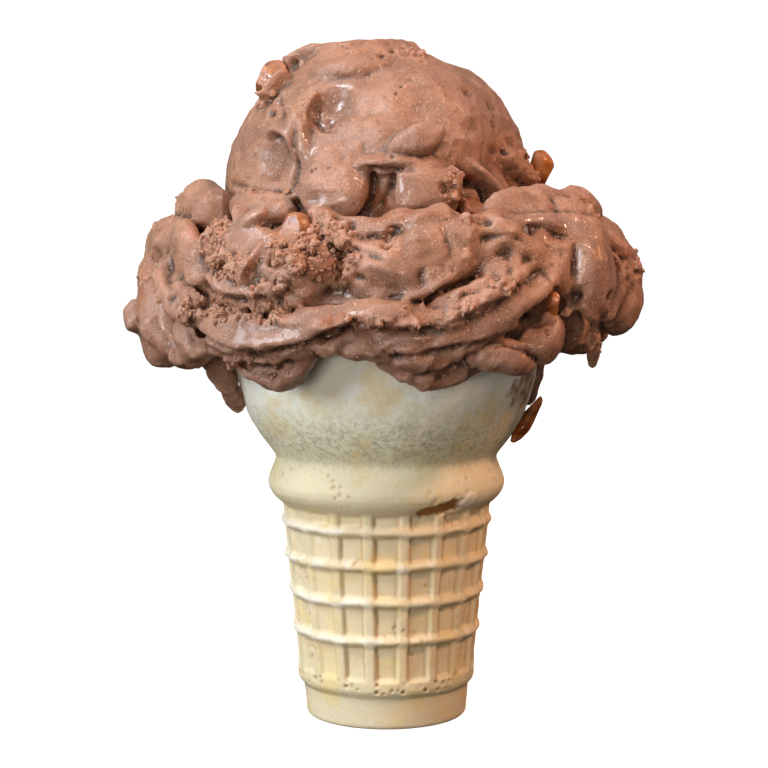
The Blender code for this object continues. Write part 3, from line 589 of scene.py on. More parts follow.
LOWER_WET = [
    (-68, 84, 2.6, 10, 1.0), (-63.5, 78, 3.0, 4, 0.9), (-41, 99.8, 3, 3.4, 1.0), (-33, 100, 5, 2.4, 0.9),
    (-30, 87.0, 11, 1.8, 0.8), (-11, 86.4, 7, 2.4, 0.9), (-28, 78.8, 17, 1.8, 0.7), (-3, 83.2, 7, 1.8, 0.8),
    (-4, 100, 9, 3.4, 1.0), (15.5, 97, 3, 3.4, 1.0), (42, 98.2, 9, 2.8, 1.0), (48.5, 91, 3.4, 7, 1.0),
    (58, 90, 5, 8, 0.6), (30, 74.6, 6, 2.4, 1.0), (40, 78, 7, 4, 0.35), (10, 90, 12, 3, 0.35),
    (24, 80.8, 9, 2.0, 0.5), (24, 93.6, 5, 2.6, 0.5), (77, 83, 6, 5, 0.4), (-30, 94, 3, 4, 0.6),
    (150, 90, 14, 5, 0.7), (204, 81, 12, 4, 0.8), (228, 99, 12, 3, 0.7),
]
LOWER_SYRUP = [
    (-8, 81.6, 5, 1.2, 1.0), (-24, 97.2, 5, 2.2, 0.8), (-9, 89.8, 3, 1.6, 0.9), (34, 81, 4, 2, 0.8),
    (40, 85.5, 3.5, 3, 0.8), (42, 96.4, 5, 1.8, 0.8), (-78, 86, 3.0, 6, 0.7), (-12, 91.6, 4, 2, 0.6),
    (69, 92, 6, 5, 0.5), (0, 81, 6, 1.2, 0.6), (-47, 96, 4, 2, 0.5), (62, 99, 5, 2, 0.5),
    (-2, 101, 9, 2, 0.8), (20, 101, 8, 2, 0.5), (130, 86, 8, 3, 0.6), (205, 92, 6, 3, 0.6),
]
# azimuth, height, half width, half height, depth
LOWER_HOLES = [
    (-39.5, 91.4, 1.9, 1.5, 2.8), (-35.5, 92.8, 1.4, 1.1, 2.0), (-24.6, 94.6, 1.5, 1.6, 2.6),
    (-26.4, 91.8, 1.3, 1.5, 2.4), (-27.5, 87.2, 1.0, 0.8, 2.0), (-24.2, 88.4, 0.9, 0.8, 1.8),
    (-22.6, 87.2, 0.8, 0.9, 1.6), (-34, 82.8, 1.6, 1.1, 3.0), (-29.4, 82.4, 1.9, 1.2, 3.2),
    (-25, 84.4, 1.0, 0.9, 2.0), (-8.4, 98.4, 1.0, 1.1, 2.0),
    (0, 95.6, 1.3, 1.7, 1.8), (2, 75.2, 1.8, 1.2, 1.5), (-6, 89.4, 1.4, 1.0, 0.8),
    (45.8, 84.4, 0.7, 3.0, 2.0), (42.5, 96.8, 3.0, 1.8, 1.3), (24.6, 99.0, 0.9, 1.0, 1.4),
    (27.5, 93.2, 3.8, 2.0, 1.2), (-4, 101.8, 3.2, 2.2, 1.6), (-54, 79, 2.4, 4.0, 0.9),
    (-51, 90.6, 3.4, 3.0, 0.9), (37.0, 81.4, 3.4, 1.3, 2.0), (54, 85.0, 1.9, 1.6, 1.3),
    (-12, 86.4, 3.6, 1.6, 0.9), (-42, 98.8, 1.6, 1.8, 1.0), (-76, 79.4, 1.0, 0.9, 1.2),
    (-53, 84.6, 1.1, 1.3, 1.6), (-46.8, 88.4, 0.5, 0.5, 1.4), (7.6, 89.6, 1.3, 2.2, 0.9),
    (-47.2, 83.6, 0.9, 1.2, 1.6), (-22, 91.6, 1.2, 1.0, 1.5), (-18, 96, 1.1, 0.9, 1.4),
    (-9, 93, 0.9, 1.2, 1.3), (-42, 95.6, 1.2, 0.9, 1.4), (32.5, 92.4, 1.6, 1.6, 0.9),
]
# path of (azimuth, height), half width, depth
LOWER_GROOVES = [
    ([(-75, 94), (-73.5, 89), (-72, 84), (-68.6, 79), (-65, 74)], 0.9, 1.3),
    ([(-66, 88.0), (-62, 85.0), (-57, 82.2), (-51, 79.8)], 0.8, 1.4),
    ([(-64, 91.4), (-58, 88.2), (-51, 85.2)], 0.7, 1.2),
    ([(-44.4, 89.6), (-40, 91.6), (-35.4, 94)], 0.8, 2.2),
    ([(-49, 74.4), (-38, 73.0), (-28, 73.0), (-20, 75.6)], 0.7, 1.2),
    ([(-44, 72.4), (-36, 71.2), (-29, 71.0)], 0.6, 0.9),
    ([(-47, 78.6), (-39, 75.9), (-30, 75.2), (-20, 76.6), (-11, 79.8), (-4, 82.0)], 1.2, 1.8),
    ([(2, 80.4), (9, 79.9), (16, 82.0), (22, 84.5), (29, 87.4), (35, 90)], 1.1, 1.8),
    ([(4, 86.0), (11, 84.6), (18, 86.8), (25, 89.4), (32, 92)], 0.9, 1.1),
    ([(5, 75.3), (13, 76.6), (22, 78.3)], 0.9, 1.2),
    ([(18, 75.6), (25, 77.4), (30.5, 76.9), (35, 74.8), (40, 72.4)], 0.9, 1.9),
    ([(33, 97.6), (39, 98.0), (44.5, 96.8)], 0.9, 1.3),
    ([(22, 96.2), (28, 96.6), (33, 95)], 0.9, 1.3),
    ([(30, 100.9), (40, 101.2), (50, 100.9), (56, 100)], 0.8, 1.0),
    ([(45.6, 95.5), (44.6, 91), (44.8, 87), (45.4, 83)], 0.9, 1.5),
    ([(60.5, 98), (62.5, 92), (62, 86), (59, 81)], 1.3, 2.4),
    ([(36, 90.6), (38, 87.4), (40.4, 85)], 0.7, 1.2),
    ([(-18, 96.6), (-11, 94.8), (-4, 93.4), (2, 91.4)], 0.9, 1.2),
    ([(12.5, 98.4), (13.6, 95.4), (14.0, 92.4)], 0.8, 1.1),
    ([(-50, 81.4), (-52.5, 78), (-53, 75)], 0.9, 1.2),
    ([(-16, 99.0), (-9, 96.6), (-2, 96.8), (5, 98.6)], 0.8, 1.0),
    ([(-47, 86.4), (-39, 85.2), (-31, 84.9), (-22, 86)], 0.8, 1.2),
]


def back_folds(count=7, first=108, last=252):
    """Lobes, shoulders and slanting bands round the back, at evenly spread but uneven places."""
    draws = np.random.default_rng(11)
    folds = {}
    for k, turn in enumerate(np.linspace(first, last, count)):
        lift, push = draws.uniform(-1.5, 1.5), draws.uniform(-0.8, 1.0)
        folds[f"back_lobe_{k}"] = (
            [(turn - 12, 81 + lift, 41.5), (turn, 78 + lift, 42 + push), (turn + 9, 77 + lift, 41)],
            (5.0, 4.6), (4.6, 4.8), 0.3)
        folds[f"back_shoulder_{k}"] = (
            [(turn - 10, 97 + lift, 38), (turn + 4, 98.6 + lift, 37.5), (turn + 16, 96.5, 38.5)],
            (3.4, 3.6), (3.8, 4.2), 0.4)
        folds[f"back_band_{k}"] = (
            [(turn - 16, 94 + lift, 43.4), (turn - 4, 89 + lift, 45.6 + push),
             (turn + 10, 85.5 + lift, 46 + push), (turn + 20, 84, 45)], (2.2, 2.6), (2.6, 3.0), 0.9)
        folds[f"back_rib_{k}"] = (
            [(turn - 12, 88 + lift, 45.8), (turn, 83.5 + lift, 46.8), (turn + 12, 80.5 + lift, 46)],
            (1.1, 1.4), (2.0, 2.2), 1.1)
    return folds


def slant_of(points):
    """How steeply the ice cream was dragged at each azimuth, in degrees from level."""
    turns = [-180, -110, -76, -52, -36, -8, 14, 30, 46, 60, 78, 110, 180]
    slants = [16, 50, 82, 62, 4, 6, 20, 30, 66, 84, 78, 34, 16]
    return np.interp(azimuth_of(points), turns, slants)


def shaped(name, skins, form):
    """Core and folds fused, stepped, creased, strewn with crumbs where torn, and fused again."""
    seed, voxels, crumb_count = form["seed"], form["voxels"], form["crumbs"]
    skins = [(swayed(swayed(p, 9.0, 0.6, seed), 3.5, 0.3, seed + 7), q, t) for p, q, t in skins]
    mesh = fused(name, skins, voxels[0])
    points = relaxed(points_of(mesh), mesh, 2)
    put_points(mesh, points)
    ragged = swayed(points, 3.2, 0.7, seed, 3)
    torn = patches(ragged, form["torn"])
    calm = 1 - 0.8 * np.clip(patches(ragged, form["wet"]), 0, 1)
    slant = form["slant"](points)
    lift = calm * sum(reach * terraces(points, slant, spacing, seed + 11 * k)
                      for k, (reach, spacing) in enumerate(form["steps"]))
    lift += form["uneven"] * rough(points, 5.5, 2, seed + 3) * (0.6 + calm)
    caves = torn * eased((noise(points, 2.6, seed + 4) - 0.05) / 0.3)
    sunk = caves + hollows(ragged * 0.3 + points * 0.7, form["holes"]) + grooves(points, form["grooves"])
    points = relaxed(points + normals_of(mesh) * (lift - sunk)[:, None], mesh, 1, 0.4)
    put_points(mesh, points)
    chosen = seats(torn ** 2 + 1e-9, crumb_count, seed)
    draws = np.random.default_rng(seed + 1)
    sizes = (0.36 + 0.75 * draws.random(crumb_count) ** 2.4) * (0.6 + 0.4 * torn[chosen])
    sunk = (sizes * draws.uniform(-0.7, 0.3, crumb_count))[:, None]
    centres = points[chosen] + normals_of(mesh)[chosen] * sunk
    return fused(name, [skin_of(mesh), lumps(centres, sizes, seed)], voxels[1])


def grained(mesh, form):
    """The finest relief that the mesh can hold, and what the finish needs to know at each point.

    The skin is relaxed, then moved along its normal: a little by noise everywhere, by sharp ridges
    and small cobbles where it is torn, and inwards by small bubbles here and there. The attribute
    state keeps how torn, wet, hollow and syrupy each point is; hollow grows as the relaxed skin
    lies further outside the point, and the finish paints shade in creases and light on ridges from it.
    The collapse modifier then spends the triangles where the skin bends most.
    """
    seed, points = form["seed"], points_of(mesh)
    ragged = swayed(points, 3.2, 0.7, seed, 3)
    torn, syrup = patches(ragged, form["torn"]), patches(ragged, form["syrup"])
    wet = np.clip(patches(ragged, form["wet"]), 0, 1) * (1 - 0.6 * torn)
    points = relaxed(points, mesh, 1, (0.5 * (1 - 0.6 * torn))[:, None])
    put_points(mesh, points)
    grain = 0.055 * rough(points, 1.5, 2, seed + 20, 0.6)
    ridges, cobbles = 0.25 - np.abs(noise(points, 1.9, seed + 21)), 0.55 - cells(points, 1.05, seed + 22)
    crumbs = 0.5 * ridges + 0.34 * cobbles
    airy = eased((noise(points, 6.0, seed + 24) - 0.42) / 0.2) * (1 - wet) * (1 - torn)
    bubbles = 0.5 * np.maximum(1 - (cells(points, 1.9, seed + 23) / 0.3) ** 2, 0) ** 1.2
    points = points + normals_of(mesh) * (grain * (1 - 0.6 * wet) + torn * crumbs - airy * bubbles)[:, None]
    put_points(mesh, points)
    normals = normals_of(mesh)
    # near and far say how deep each point lies in a crease: the finish paints shade there and light on
    # ridges
    near = ((relaxed(points, mesh, 6) - points) * normals).sum(1)
    far = ((relaxed(points, mesh, 50) - points) * normals).sum(1)
    keep_state(mesh, torn, wet, np.clip(0.5 + 1.8 * near + 0.6 * far, 0, 1), syrup)
    made = with_modifier(mesh, "DECIMATE", ratio=form["triangles"] / (2 * len(mesh.polygons)))
    print(f"{mesh.name}: {len(made.polygons)} faces, torn {torn.mean():.2f}, wet {wet.mean():.2f}")
    return made


# %% Lower scoop: shape
# steps are (reach, spacing) of the terraces, and voxels the sizes of the two fusings
LOWER = {"torn": LOWER_TORN, "wet": LOWER_WET, "syrup": LOWER_SYRUP, "holes": LOWER_HOLES,
         "grooves": LOWER_GROOVES, "slant": slant_of, "steps": ((0.65, 4.6), (0.38, 2.1)),
         "uneven": 0.25, "voxels": (0.5, 0.38), "crumbs": 3600, "triangles": 194000, "seed": 1}
lower_skins = [lathe(LOWER_CORE)]
lower_skins += [fold(*f, seed=k) for k, f in enumerate({**LOWER_FOLDS, **back_folds()}.values())]
lower_mesh = grained(shaped("scoop_lower_skin", lower_skins, LOWER), LOWER)


# %% [markdown]
# ## The upper scoop
#
# A rounder scoop pressed on top: three round bodies, of which the front one stands forward and
# ends in a fat lip, then the folds that the scoop left when it was pulled away.

# %% Upper scoop
UPPER_HEART = (-2, 0, 100)
# centre and half axes
UPPER_BODIES = [((-3.0, 0.6, 104.0), (29.2, 26.2, 29.8)), ((3.2, -4.0, 108.5), (20.6, 23.4, 23.4)),
                ((6, 2, 106.5), (22.2, 23.6, 25.2))]
# name: path of (azimuth, height, radius), half widths, half thicknesses, tail, blunt, boxy
UPPER_FOLDS = {
    "lip": ([(-20, 119, 22.0), (-19.5, 114, 24.3), (-19.5, 109, 26.7), (-20, 105, 28.1),
             (-21.5, 102.4, 28.2), (-22.5, 100.2, 27.1)], (5.4, 6.4, 6.9, 6.7, 5.8, 4.0),
            (1.6, 2.4, 3.0, 3.4, 3.2, 2.4), 0.0, 0.3, 0.75),
    "lip_left": ([(-43, 113, 25.2), (-39, 108, 27.2), (-34, 103.4, 28.2)], (3.0, 3.6, 2.8),
                 (1.8, 2.2), 0.0),
    "lip_ridge": ([(-36, 124, 22.8), (-38.5, 119.6, 25.4), (-38, 115.4, 26.8), (-33, 110.4, 27.8)],
                  (1.6, 2.4, 2.8), (1.0, 1.6, 2.2), 0.0),
    "lip_chin": ([(-30, 103.0, 28.0), (-23, 101.8, 29.2), (-14, 102.8, 28.6)], (1.5, 1.7), (2.8, 3.2), 0.3),
    "brow_root": ([(-12, 114.4, 24.8), (0, 114.2, 25.6), (12, 113.2, 25.8), (23, 111.0, 25.6)],
                  (4.2, 4.4, 3.4, 2.2), (2.0, 2.3, 1.6), 0.0, 0.4),
    "brow": ([(-16, 110.4, 27.4), (-6, 110.0, 28.6), (5, 110.3, 29.0), (16, 110.2, 28.6),
              (23, 108.6, 28.2), (26.5, 105.6, 27.6)], (1.1, 1.3, 1.3), (2.2, 2.8), 1.8),
    "brow_step": ([(-10, 109.2, 28), (-2, 108.4, 28.4), (4, 108.6, 28)], (0.5, 0.6), (1.2, 1.3), 1.0),
    "knob_block": ([(4, 105.0, 27.8), (10, 105.2, 29.4), (18, 105.0, 29.8), (25, 104.0, 28.6)],
                   (3.6, 4.2, 4.1), (2.9, 3.4), 0.0, 0.2, 0.65),
    "leaf": ([(1.5, 112.0, 28.6), (7, 113.4, 29.2), (13, 115.0, 29.0), (18.5, 116.6, 28.2)],
             (0.6, 2.2, 3.0, 2.5), (1.0, 1.7, 2.2, 2.6), 0.0, 0.06, 0.5),
    "tent": ([(33, 110.2, 26.4), (40, 108.2, 28), (46, 106, 29), (49.5, 102.5, 29.6), (50.5, 98.6, 30)],
             (0.9, 1.3), (1.9, 2.5), 1.3),
    "tent_right": ([(48, 109, 25.6), (56, 104.6, 27.4), (60, 100.5, 28.6)], (2.4, 3.0), (2.0, 2.6), 0.4),
    "tent_left": ([(28, 103.6, 27.4), (33, 101.4, 28.6), (40, 99.8, 30)], (1.0, 1.4), (1.8, 2.2), 0.9),
    "crag": ([(60, 112.4, 25.8), (70, 109.4, 27.4), (84, 106.5, 27.8)], (1.8, 2.4), (2.4, 3.0), 0.6),
    "crag_top": ([(62, 115.8, 24.2), (72, 113.8, 25), (82, 111.8, 25.8)], (1.0, 1.2), (1.7, 2.0), 0.9),
    "left_ledge": ([(-55, 115.2, 27.8), (-49, 116.6, 28.2), (-43, 116.2, 28.4), (-38, 114.2, 28.6),
                    (-35, 110.5, 28.2)], (0.7, 0.9, 0.6), (1.3, 1.6), 2.0),
    "left_arc": ([(-52, 120.6, 25.6), (-43, 120.2, 26.4), (-36, 117.2, 27.4), (-33, 112.6, 28.2),
                  (-33, 107.6, 28.6)], (0.6, 0.8), (1.0, 1.2), -1.6),
    "left_sill": ([(-76, 107.0, 28.8), (-60, 106.2, 29.8), (-48, 105.2, 30.2), (-35, 104.4, 29.8)],
                  (1.1, 1.2), (1.6, 1.8), 1.0),
    "left_skirt": ([(-76, 102.6, 29.8), (-56, 101.6, 31.4), (-34, 101, 31.2)], (2.4, 2.6), (3.0, 3.0), 0.3),
    "slab": ([(-84, 130.6, 16.5), (-50, 131.6, 12.5), (10, 132.4, 5), (78, 132.2, 6.6)],
             (2.6, 3.0), (2.2, 2.6), -1.4, 0.15),
    "slab_fall": ([(-50, 127.6, 18.6), (-24, 128.6, 15.4), (12, 129.0, 12.4)], (2.6, 3.0, 2.2),
                  (1.6, 2.0, 1.4), 0.0),
    "crest": ([(-88, 127.6, 21.2), (-84, 129.8, 19.4), (-78, 131.8, 17.0), (-66, 132.8, 14.4)],
              (0.9, 1.2), (1.5, 1.8), 0.4),
    "rim": ([(-63, 128.0, 21.6), (-64, 125.6, 23.8), (-67, 123, 25.4), (-69, 120.6, 26.2)],
            (0.8, 1.2, 1.0), (1.7, 2.0), -1.0),
    "slab_back": ([(-120, 130.4, 15), (-160, 131.4, 10), (140, 131, 8)], (4.0, 4.0), (2.8, 2.8), 0.2),
    "back_roll_low": ([(120, 107, 26.5), (150, 104.5, 27), (185, 106.5, 27)], (3.6, 3.6), (3.2, 3.2), 0.6),
    "back_roll_high": ([(140, 118, 21.5), (190, 115, 23.4), (232, 111, 26.4)], (3.0, 3.2), (3.0, 3.2), 0.6),
    "back_rib": ([(110, 113, 25.4), (150, 111.5, 25), (200, 110.5, 25.8), (244, 105.5, 28.6)],
                 (1.8, 2.0), (2.0, 2.2), 1.0),
}
# azimuth, height, half turn, half height, strength
UPPER_TORN = [
    (26, 131.6, 16, 2.2, 0.45), (-80, 130, 8, 2.6, 0.3), (-66, 123.8, 3.5, 2.4, 0.5),
    (21, 104.6, 3.4, 2.8, 0.8), (24, 107.4, 3, 2.0, 0.6), (74, 110.4, 10, 4.4, 0.45),
    (30, 101, 6, 2.0, 0.4), (-50, 104.6, 12, 1.2, 0.4),
    (150, 118, 22, 5, 0.7), (200, 110, 14, 4, 0.8), (110, 106, 12, 5, 0.7), (236, 120, 12, 6, 0.6),
    (180, 131, 60, 3, 0.5),
]
UPPER_WET = [
    (-26, 120.0, 9, 5.6, 1.0), (-32, 112.4, 5, 4.4, 0.9), (-20, 102.6, 10, 2.2, 0.9),
    (-4, 108.0, 8, 1.6, 1.0), (4, 105.4, 4, 3, 0.8), (-46, 112, 12, 4.6, 0.7),
    (46, 105, 6, 4, 0.9), (30, 122, 40, 8, 0.3),
    (-34, 105, 4, 3, 0.9), (-6, 103, 5, 3, 0.9), (170, 124, 30, 5, 0.5), (128, 110, 12, 5, 0.5),
    (218, 103, 16, 4, 0.5),
]
UPPER_SYRUP = [
    (-2, 102.6, 6, 2.4, 1.0), (33, 104.8, 6, 3.4, 0.9), (24, 103, 4, 3, 0.7), (60, 108, 22, 9, 0.45),
    (-46, 108, 7, 1.2, 0.5), (-80, 127, 6, 4, 0.5), (84, 110, 8, 5, 0.8), (40, 101, 8, 3, 0.6),
    (150, 112, 10, 4, 0.5),
]
# azimuth, height, half width, half height, depth
UPPER_HOLES = [
    (-26, 120.4, 4.2, 4.4, 1.9), (-28, 117.6, 2.6, 1.5, 0.8), (-46.5, 114.8, 1.5, 0.7, 0.9),
    (15, 121.0, 5.0, 5.5, 1.3), (48, 123.8, 2.4, 1.4, 0.7), (57, 117.2, 0.9, 1.2, 1.5),
    (84, 115.8, 2.6, 1.0, 1.2), (-4, 130.9, 0.9, 0.8, 1.4), (9, 132.0, 1.0, 0.7, 1.5),
    (2, 105.6, 0.7, 0.7, 1.6), (20.5, 105.0, 2.0, 1.5, 2.6), (33.5, 105.6, 3.0, 2.4, 2.0),
    (60, 112.3, 0.9, 0.9, 1.4), (-58, 119.6, 1.6, 0.8, 0.9), (-47, 110.8, 5.5, 4.0, 0.9),
    (38, 117, 3.0, 2.0, 0.7), (64, 121, 2.4, 2.0, 0.6), (-10, 126, 4, 2.4, 0.5), (52, 112.5, 2.6, 1.4, 0.8),
]
# path of (azimuth, height), half width, depth
UPPER_GROOVES = [
    ([(-33, 120.6), (-32, 118), (-28.5, 116.4), (-22, 116)], 0.7, 1.5),
    ([(-58, 126.4), (-61, 123.6), (-65, 120.4)], 0.7, 1.1),
    ([(-74, 106.4), (-60, 105.9), (-48, 105.6), (-36, 104.8)], 0.9, 1.1),
    ([(-36, 118), (-36, 113), (-35.5, 108), (-36, 104.6)], 1.0, 1.2),
    ([(-7, 109.0), (-1, 108.5), (5, 108.6), (10, 108.6)], 0.8, 1.4),
    ([(-5.5, 108.6), (-4.6, 107), (-5.4, 104), (-8, 101)], 0.9, 1.4),
    ([(-3, 102.0), (1, 104.6), (2.6, 107.6)], 0.9, 1.2),
    ([(28, 109), (33, 107), (41, 105.4), (46, 102.6), (47, 99.4)], 1.2, 1.8),
    ([(-60, 123.4), (-52, 120.4), (-44, 118.6)], 0.8, 0.8),
]
UPPER = {"torn": UPPER_TORN, "wet": UPPER_WET, "syrup": UPPER_SYRUP, "holes": UPPER_HOLES,
         "grooves": UPPER_GROOVES, "slant": lambda points: 24.0, "steps": ((0.25, 6.5), (0.18, 2.8)),
         "uneven": 0.1, "voxels": (0.42, 0.33), "crumbs": 800, "triangles": 150000, "seed": 2}
upper_skins = [ball(*body) for body in UPPER_BODIES]
upper_skins += [fold(*f, seed=k, centre=UPPER_HEART) for k, f in enumerate(UPPER_FOLDS.values())]
upper_mesh = grained(shaped("scoop_upper_skin", upper_skins, UPPER), UPPER)


# %% [markdown]
# ## The wafer cup
#
# The cup is baked between two iron moulds. Its outside is one grid: the radius at each height,
# plus ropes that run round it, minus the pockets that the mould pressed between upright ribs.
# Baking leaves a row of pores where the batter boiled along the lowest edge, and handling leaves
# a broken place under the collar and pale, rubbed patches on the ropes. The rubbed patches grow
# stronger on the left, where the light falls, as painted light, and the pores and the right-hand
# sides of the ribs are marked for painted shade.

# %% Wafer cup: shape
COLUMNS = 432
RIB_TURN, FIRST_RIB = 20.0, 10.0          # degrees between the upright ribs, and where one is
ROPES = (17.9, 25.6, 32.7, 39.5)          # heights of the ropes
POCKET = 0.85                             # depth of the pockets between ropes and ribs
# height, radius: up the outside, round the lower edge of the foot, and down the inside
CUP_OUTSIDE = np.array([
    (0.8, 16.15), (5.6, 16.6), (6.5, 16.8), (7.0, 17.4), (7.9, 17.85), (9.4, 17.9), (12.5, 17.85),
    (20, 18.6), (28, 19.4), (35, 20.15), (42.4, 20.85), (43.2, 21.1), (43.8, 21.9), (44.8, 22.9),
    (46.0, 23.6), (47.3, 23.85), (48.8, 23.5), (50.6, 22.75), (52.0, 22.2), (52.8, 22.3), (54.4, 23.4),
    (55.7, 24.45), (57.1, 25.4), (60.5, 27.4), (64, 28.75), (68.2, 29.9), (72, 30.6), (74.2, 30.9)])
CUP_EDGE = np.array([(0, 12.5), (0, 14.6), (0.04, 15.3), (0.16, 15.75), (0.42, 16.03)])
CUP_INSIDE = np.array([(74.5, 30.6), (74.6, 29.9), (74.3, 29.2), (73.0, 28.8), (66, 27.0), (59, 24.2),
                       (54, 20.6), (44, 18.6), (10, 15.2), (3.4, 14.2), (2.6, 12.0)])


def outside_radius(height):
    """The outside radius with its corners rounded: the mean of the outline just above and below."""
    offsets = np.linspace(-0.5, 0.5, 9)
    weights = np.cos(offsets * np.pi * 0.9)
    places = height[:, None] + offsets
    return (np.interp(places, *CUP_OUTSIDE.T) * weights).sum(1) / weights.sum()


def bands(steps):
    """Heights up the outside from (end, count) steps, closer together where there is detail."""
    heights, start = [], CUP_OUTSIDE[0, 0]
    for end, count in steps:
        heights.append(np.linspace(start, end, count, endpoint=False))
        start = end
    return np.concatenate(heights)


def cup_surface():
    """The outside radius at every height and azimuth, and what the finish needs to know there."""
    height = bands([(5.8, 9), (10.6, 20), (43.0, 100), (54.4, 36), (74.4, 32)])[:, None]
    turn = np.linspace(-180, 180, COLUMNS, endpoint=False)[None, :]
    base = outside_radius(height[:, 0])[:, None]
    skin = spot(turn, height, base).reshape(-1, 3)

    def on_skin(pattern, *details):
        return pattern(skin, *details).reshape(len(height), COLUMNS)

    left = eased((-turn - 15) / 40)
    sag = 0.3 * on_skin(noise, 9.0, 61)
    rope = np.min([np.abs(height - at - sag) for at in ROPES], axis=0)
    rope = eased(1.12 - rope / 1.35) * (1 + 0.25 * on_skin(noise, 4.0, 62))
    off_rib = np.abs((turn - FIRST_RIB + RIB_TURN / 2) % RIB_TURN - RIB_TURN / 2)
    rib_mm = np.radians(off_rib) * base + 0.18 * on_skin(noise, 3.0, 63)
    rib = eased((1.45 - rib_mm) / 0.75)
    lattice = eased((height - 9.6) / 1.1) * eased((43.3 - height) / 0.8)
    depth = POCKET * (1 - 0.3 * left) * (1 + 0.3 * on_skin(noise, 6.0, 64))
    pressed = depth * lattice * (1 - rib) * (1 - np.minimum(rope, 1))
    # pale, rubbed patches on the ropes: real wear, made stronger on the lit left side as painted light
    wear_and_light = eased((on_skin(noise, 3.4, 65) + 0.9 * left - 0.25) / 0.3) * rope * lattice
    wear_and_light = np.maximum(wear_and_light, 0.7 * eased((on_skin(noise, 2.6, 66) - 0.45) / 0.2) * lattice * left)
    ledge = eased((height - 7.3) / 0.5) * eased((10.3 - height) / 0.9)
    few = eased((on_skin(noise, 7.0, 67) - 0.2) / 0.2) * eased((height - 6) / 2) * eased((53 - height) / 2)
    pore = np.maximum(1 - (on_skin(cells, 1.5, 68) / 0.36) ** 2, 0)
    pore = pore * np.maximum(ledge * eased((on_skin(noise, 4.0, 69) + 0.75) / 0.4), 0.6 * few)
    across = (turn - 31) / 15.5 + 0.12 * on_skin(noise, 1.6, 70)
    up = (height - 44.4 - 0.07 * (turn - 31)) / 1.35 + 0.35 * on_skin(noise, 1.3, 71)
    chip = eased((1.1 - np.hypot(across, up)) / 0.25)
    flake = np.hypot((turn - 43) / 4.5, (height - 45.6) / 1.7) + 0.3 * on_skin(noise, 1.5, 72)
    flake = eased((1.15 - flake) / 0.3)
    ragged = 0.35 * on_skin(rough, 3.2, 3, 73)
    cut = eased((height - 68.2) / 2.2) * np.clip((66 - turn) / 10, 0, 1)
    stain = np.maximum(np.abs(turn - 64) / 10.5, np.abs(height - 67) / 3.3) + ragged + cut
    stain = eased((1.05 - stain) / 0.16)
    stain = stain * (0.5 + 0.5 * eased((on_skin(rough, 1.9, 2, 74) + 0.4) / 0.6))
    blister = eased((height - 53) / 3) * 0.12 * on_skin(rough, 5.0, 3, 75)
    grit = eased((height - 53) / 2) * eased((61 - height) / 3) * 0.1 * np.abs(on_skin(noise, 1.3, 76))
    radius = (base + 0.55 * rope * lattice - pressed - 0.6 * pore - 1.15 * chip * (1 - flake)
              + 0.3 * flake + 0.12 * stain + blister + grit + 0.16 * wear_and_light * on_skin(rough, 1.4, 2, 77)
              + 0.05 * on_skin(rough, 2.2, 2, 78) + 0.12 * on_skin(noise, 14.0, 79))
    # painted shade: dark lines beside the ribs on their right, shaded side, and darkened pores; the chip's
    # broken inside is browner
    rib_shade_line = eased(1 - np.abs(rib_mm - 1.35) / 0.5) * (1 - np.minimum(rope, 1)) * lattice
    toast_and_shade = np.maximum.reduce([chip * (1 - flake), 0.9 * pore, 0.45 * rib_shade_line * (1 - left)])
    return height, turn, radius, (np.maximum(wear_and_light, 0.8 * flake), stain, toast_and_shade)


height, turn, radius, marks = cup_surface()
cup_rings = np.concatenate([turned(CUP_EDGE, COLUMNS), spot(turn, height, radius),
                            turned(CUP_INSIDE, COLUMNS)])
cup_mesh = to_mesh("wafer_cup_skin", [closed_grid(cup_rings)])
before, after = len(CUP_EDGE) * COLUMNS, len(CUP_INSIDE) * COLUMNS + 2
keep_state(cup_mesh, *(np.pad(mark.ravel(), (before, after)) for mark in marks))
print("wafer cup:", len(cup_mesh.polygons), "faces, widest", round(radius.max(), 2))


# %% [markdown]
# ## Toffee and loose crumbs
#
# Broken toffee has flat, shell-like faces with slightly rounded edges. The reach of such a lump
# in one direction is the nearest of nine random planes, rounded by a high power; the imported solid
# gives its place and size. Loose crumbs of ice cream are the same angular lumps as before,
# smaller, sitting on the torn places without being fused.

# %% Toffee and crumbs: shapes
TOFFEES = [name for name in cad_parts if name.startswith("toffee")]


def broken_lump(centre, half, seed, rows=44, around=72, planes=9, power=26):
    """Reach in direction w is 1 / (sum of max(0, n.w / h)^power)^(1 / power) over the planes."""
    draws = np.random.default_rng(seed)
    facing = unit(draws.normal(size=(planes, 3)))
    away = draws.uniform(0.66, 1.0, planes)
    ways = ball_ways(rows, around, np.pi / 2 - 0.04)
    near = np.maximum(ways @ facing.T / away, 0.0)
    reach = np.minimum((near ** power).sum(-1) ** (-1 / power), 1.12)
    reach = reach * (1 + 0.03 * rough(ways.reshape(-1, 3) + seed, 0.5, 3, seed).reshape(reach.shape))
    return closed_grid(centre + ways * reach[..., None] * half)


